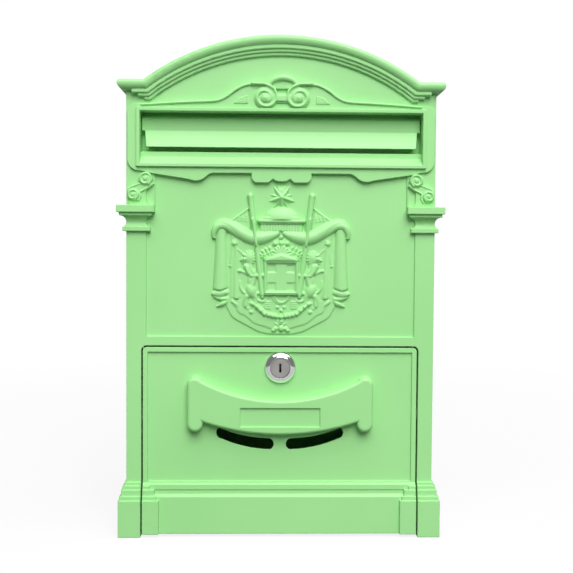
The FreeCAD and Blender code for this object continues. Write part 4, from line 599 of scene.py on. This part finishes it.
def bracket_relief():
    """Scroll bracket over a capital: a broad strap from the upper volute, curled under into the lower one."""
    step = 0.3
    turns = ((-60, 5.0), (-10, 4.7), (45, 4.5), (90, 4.4), (135, 4.3), (180, 4.2), (225, 4.0), (270, 3.6),
             (315, 3.1), (360, 2.7), (405, 2.3))
    r = Relief(np.arange(-126.0, -102.9, step), np.arange(272.4, 302.1, step))
    r.slab([(-104.6, 291.4), (-105.2, 288.6), (-110.0, 286.4), (-114.6, 283.8), (-113.6, 280.2), (-115.8, 276.0),
            (-120.6, 275.8), (-125.0, 278.4), (-125.2, 286.2), (-119.0, 288.6), (-114.6, 290.4)], 2.7, 0.9)
    r.rod([(-104.9, 290.2, 0.9), (-108.0, 287.6, 0.9), (-112.0, 285.4, 0.9), (-115.0, 283.4, 0.9),
           (-114.4, 280.0, 0.8), (-116.4, 276.6, 0.7)], 1.2, lift=2.2, both=False)
    r.rod([(-114.4, 290.6, 0.8), (-119.0, 288.9, 0.9), (-123.6, 286.6, 0.9), (-125.0, 282.4, 0.8)],
          1.2, lift=2.2, both=False)
    for centre, size in (((-110.6, 294.4), 1.0), ((-120.8, 281.4), 0.84)):
        r.blob(centre, (5.5 * size, 5.5 * size), 0.4, lift=3.2, both=False)
        r.rod(spiral(centre, [(angle, far * size) for angle, far in turns], size), 1.2, lift=3.4, both=False)
        r.blob(centre, (1.9 * size, 1.9 * size), 1.2, lift=3.6, both=False)
        r.groove([(centre[0] - 0.1, centre[1], 0.5), (centre[0] + 0.1, centre[1], 0.5)], 0.7, both=False)
    r.soften()
    return r


def turned_round(relief):
    """The same relief for the other side: x changes its sign and its order."""
    other = Relief(-relief.xs[::-1], relief.zs)
    other.h = relief.h[::-1].copy()
    return other


left_bracket = bracket_relief()
closed_field("scroll_bracket_left", left_bracket, FACE_Y)
closed_field("scroll_bracket_right", turned_round(left_bracket), FACE_Y)


def turned_ring(name, profile, sides, coat):
    """Closed ring round the lock: a closed outline of (radius, depth behind the flange's front) in mm, turned
    once round the plug's middle: x = middle + radius cos, z = middle + radius sin."""
    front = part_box("lock_body")[0].y / MM
    low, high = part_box("lock_plug")
    outline = np.array(profile)
    around = np.linspace(0, 2 * math.pi, sides + 1)[:-1][:, None]
    x = (low.x + high.x) / 2 / MM + outline[:, 0] * np.cos(around)
    z = (low.z + high.z) / 2 / MM + outline[:, 0] * np.sin(around)
    y = front + outline[:, 1] + 0 * around
    index = np.arange(x.size).reshape(x.shape)
    after = np.roll(index, -1, 0)
    quads = np.stack([index, after, np.roll(after, -1, 1), np.roll(index, -1, 1)], -1).reshape(-1, 4)
    add_piece(name, np.stack([x, y, z], -1).reshape(-1, 3), quads.tolist(), len(quads), coat, "door_leaf")


turned_ring("lock_bezel", [
    (12.90, 3.4), (13.0, 2.6), (12.85, 1.9), (12.4, 1.2), (11.7, 0.5), (10.7, -0.1), (9.8, -0.5), (9.2, -0.68),
    (8.7, -0.80), (8.36, -0.86), (8.34, -0.85), (8.30, -0.80), (8.28, -0.60), (8.28, 0.6), (9.4, 1.8)],
    96, CHROME)
# A near black ring fills the gap between plug and bezel: painted shade of that gap.
turned_ring("lock_gap_painted_shade", [
    (8.40, 0.5), (8.40, -0.30), (8.28, -0.38), (8.02, -0.36), (7.98, -0.2), (7.98, 0.5)], 72, PAINTED_SHADE_STEEL)


# Studio, lamps and camera.


def stage_material(name):
    """Ground that is white to the camera, with a faint shadow near the box, pale in plating and a quiet grey
    to all else."""
    finish = Finish(name)
    seen = finish.node("ShaderNodeLightPath", outlet="Is Camera Ray")
    mirrored = finish.node("ShaderNodeLightPath", outlet="Is Glossy Ray")
    grey = finish.node("ShaderNodeBsdfDiffuse", (), {"Color": (0.13, 0.13, 0.13, 1)})
    paper = finish.node("ShaderNodeBsdfDiffuse", (), {"Color": (0.80, 0.80, 0.80, 1)})
    light = finish.node("ShaderNodeEmission", (), {"Color": (1, 1, 1, 1), "Strength": 1.0})
    away = finish.node("ShaderNodeVectorMath", {"operation": "LENGTH"}, {0: finish.place}, outlet="Value")
    lit = 0.85 + 0.15 * finish.ramp(away, 0.4, 1.2)
    shown = finish.node("ShaderNodeMixShader", (), {0: lit, 1: paper, 2: light})
    unseen = finish.node("ShaderNodeMixShader", (), {0: 0.55 * mirrored, 1: grey, 2: paper})
    finish.node_output(finish.node("ShaderNodeMixShader", (), {0: seen, 1: unseen, 2: shown}))
    return finish.material


FLOOR_HALF = 30.0
FLOOR_DROP = 0.0004
floor_mesh = bpy.data.meshes.new("floor")
corners = [(x * FLOOR_HALF, y * FLOOR_HALF, 0) for x, y in ((-1, -1), (1, -1), (1, 1), (-1, 1))]
floor_mesh.from_pydata(corners, [], [(0, 1, 2, 3)])
floor = bpy.data.objects.new("floor", floor_mesh)
floor.location.z = -FLOOR_DROP
bpy.context.scene.collection.objects.link(floor)
floor_mesh.materials.append(stage_material("white_ground"))

# The world's strength is 1 to the camera, ROOM_LIGHT to all else, and a little more in plating.
ROOM_LIGHT = 0.13
MIRROR_LIGHT = 0.08
world = bpy.data.worlds.new("studio")
bpy.context.scene.world = world
world.use_nodes = True
air = world.node_tree
air.nodes.clear()
rays = air.nodes.new("ShaderNodeLightPath")
seen = Value(air, rays.outputs["Is Camera Ray"])
mirrored = Value(air, rays.outputs["Is Glossy Ray"])
sky = air.nodes.new("ShaderNodeBackground")
sky.inputs["Color"].default_value = (1, 1, 1, 1)
strength = ROOM_LIGHT + (1 - ROOM_LIGHT) * seen + MIRROR_LIGHT * mirrored
air.links.new(strength.socket, sky.inputs["Strength"])
end = air.nodes.new("ShaderNodeOutputWorld")
air.links.new(sky.outputs[0], end.inputs["Surface"])


def lamp(name, place, target, width, height, power):
    """A soft rectangular lamp that looks from place to target."""
    light = bpy.data.lights.new(name, "AREA")
    light.shape = "RECTANGLE"
    light.size = width
    light.size_y = height
    light.energy = power
    made = bpy.data.objects.new(name, light)
    made.location = place
    made.rotation_mode = "QUATERNION"
    made.rotation_quaternion = (Vector(target) - Vector(place)).to_track_quat("-Z", "Y")
    bpy.context.scene.collection.objects.link(made)


lamp("key", place=(0.50, -1.60, 4.00), target=(0, 0, 0.2), width=6.5, height=2.0, power=150.0)
lamp("front", place=(0.45, -2.90, 2.65), target=(0, 0, 0.15), width=2.2, height=2.4, power=132.0)

# Camera as solved from the photo: its place in metres, and the ways its right, its top and its back point.
place = (-0.01470, -0.76523, 0.23622)
view = bpy.data.cameras.new("photo_view")
view.sensor_width = 36.0
view.lens = 55.64
camera = bpy.data.objects.new("photo_view", view)
right = Vector((0.9996301, -0.0263544, 0.0067098))
up = Vector((-0.0056512, 0.0400374, 0.9991822))
toward = Vector((-0.0266015, -0.9988506, 0.0398737))
turn = Matrix((right, up, toward)).transposed()
camera.matrix_world = Matrix.Translation(place) @ turn.to_4x4()
bpy.context.scene.collection.objects.link(camera)
bpy.context.scene.camera = camera
bpy.context.scene.view_settings.view_transform = "Standard"
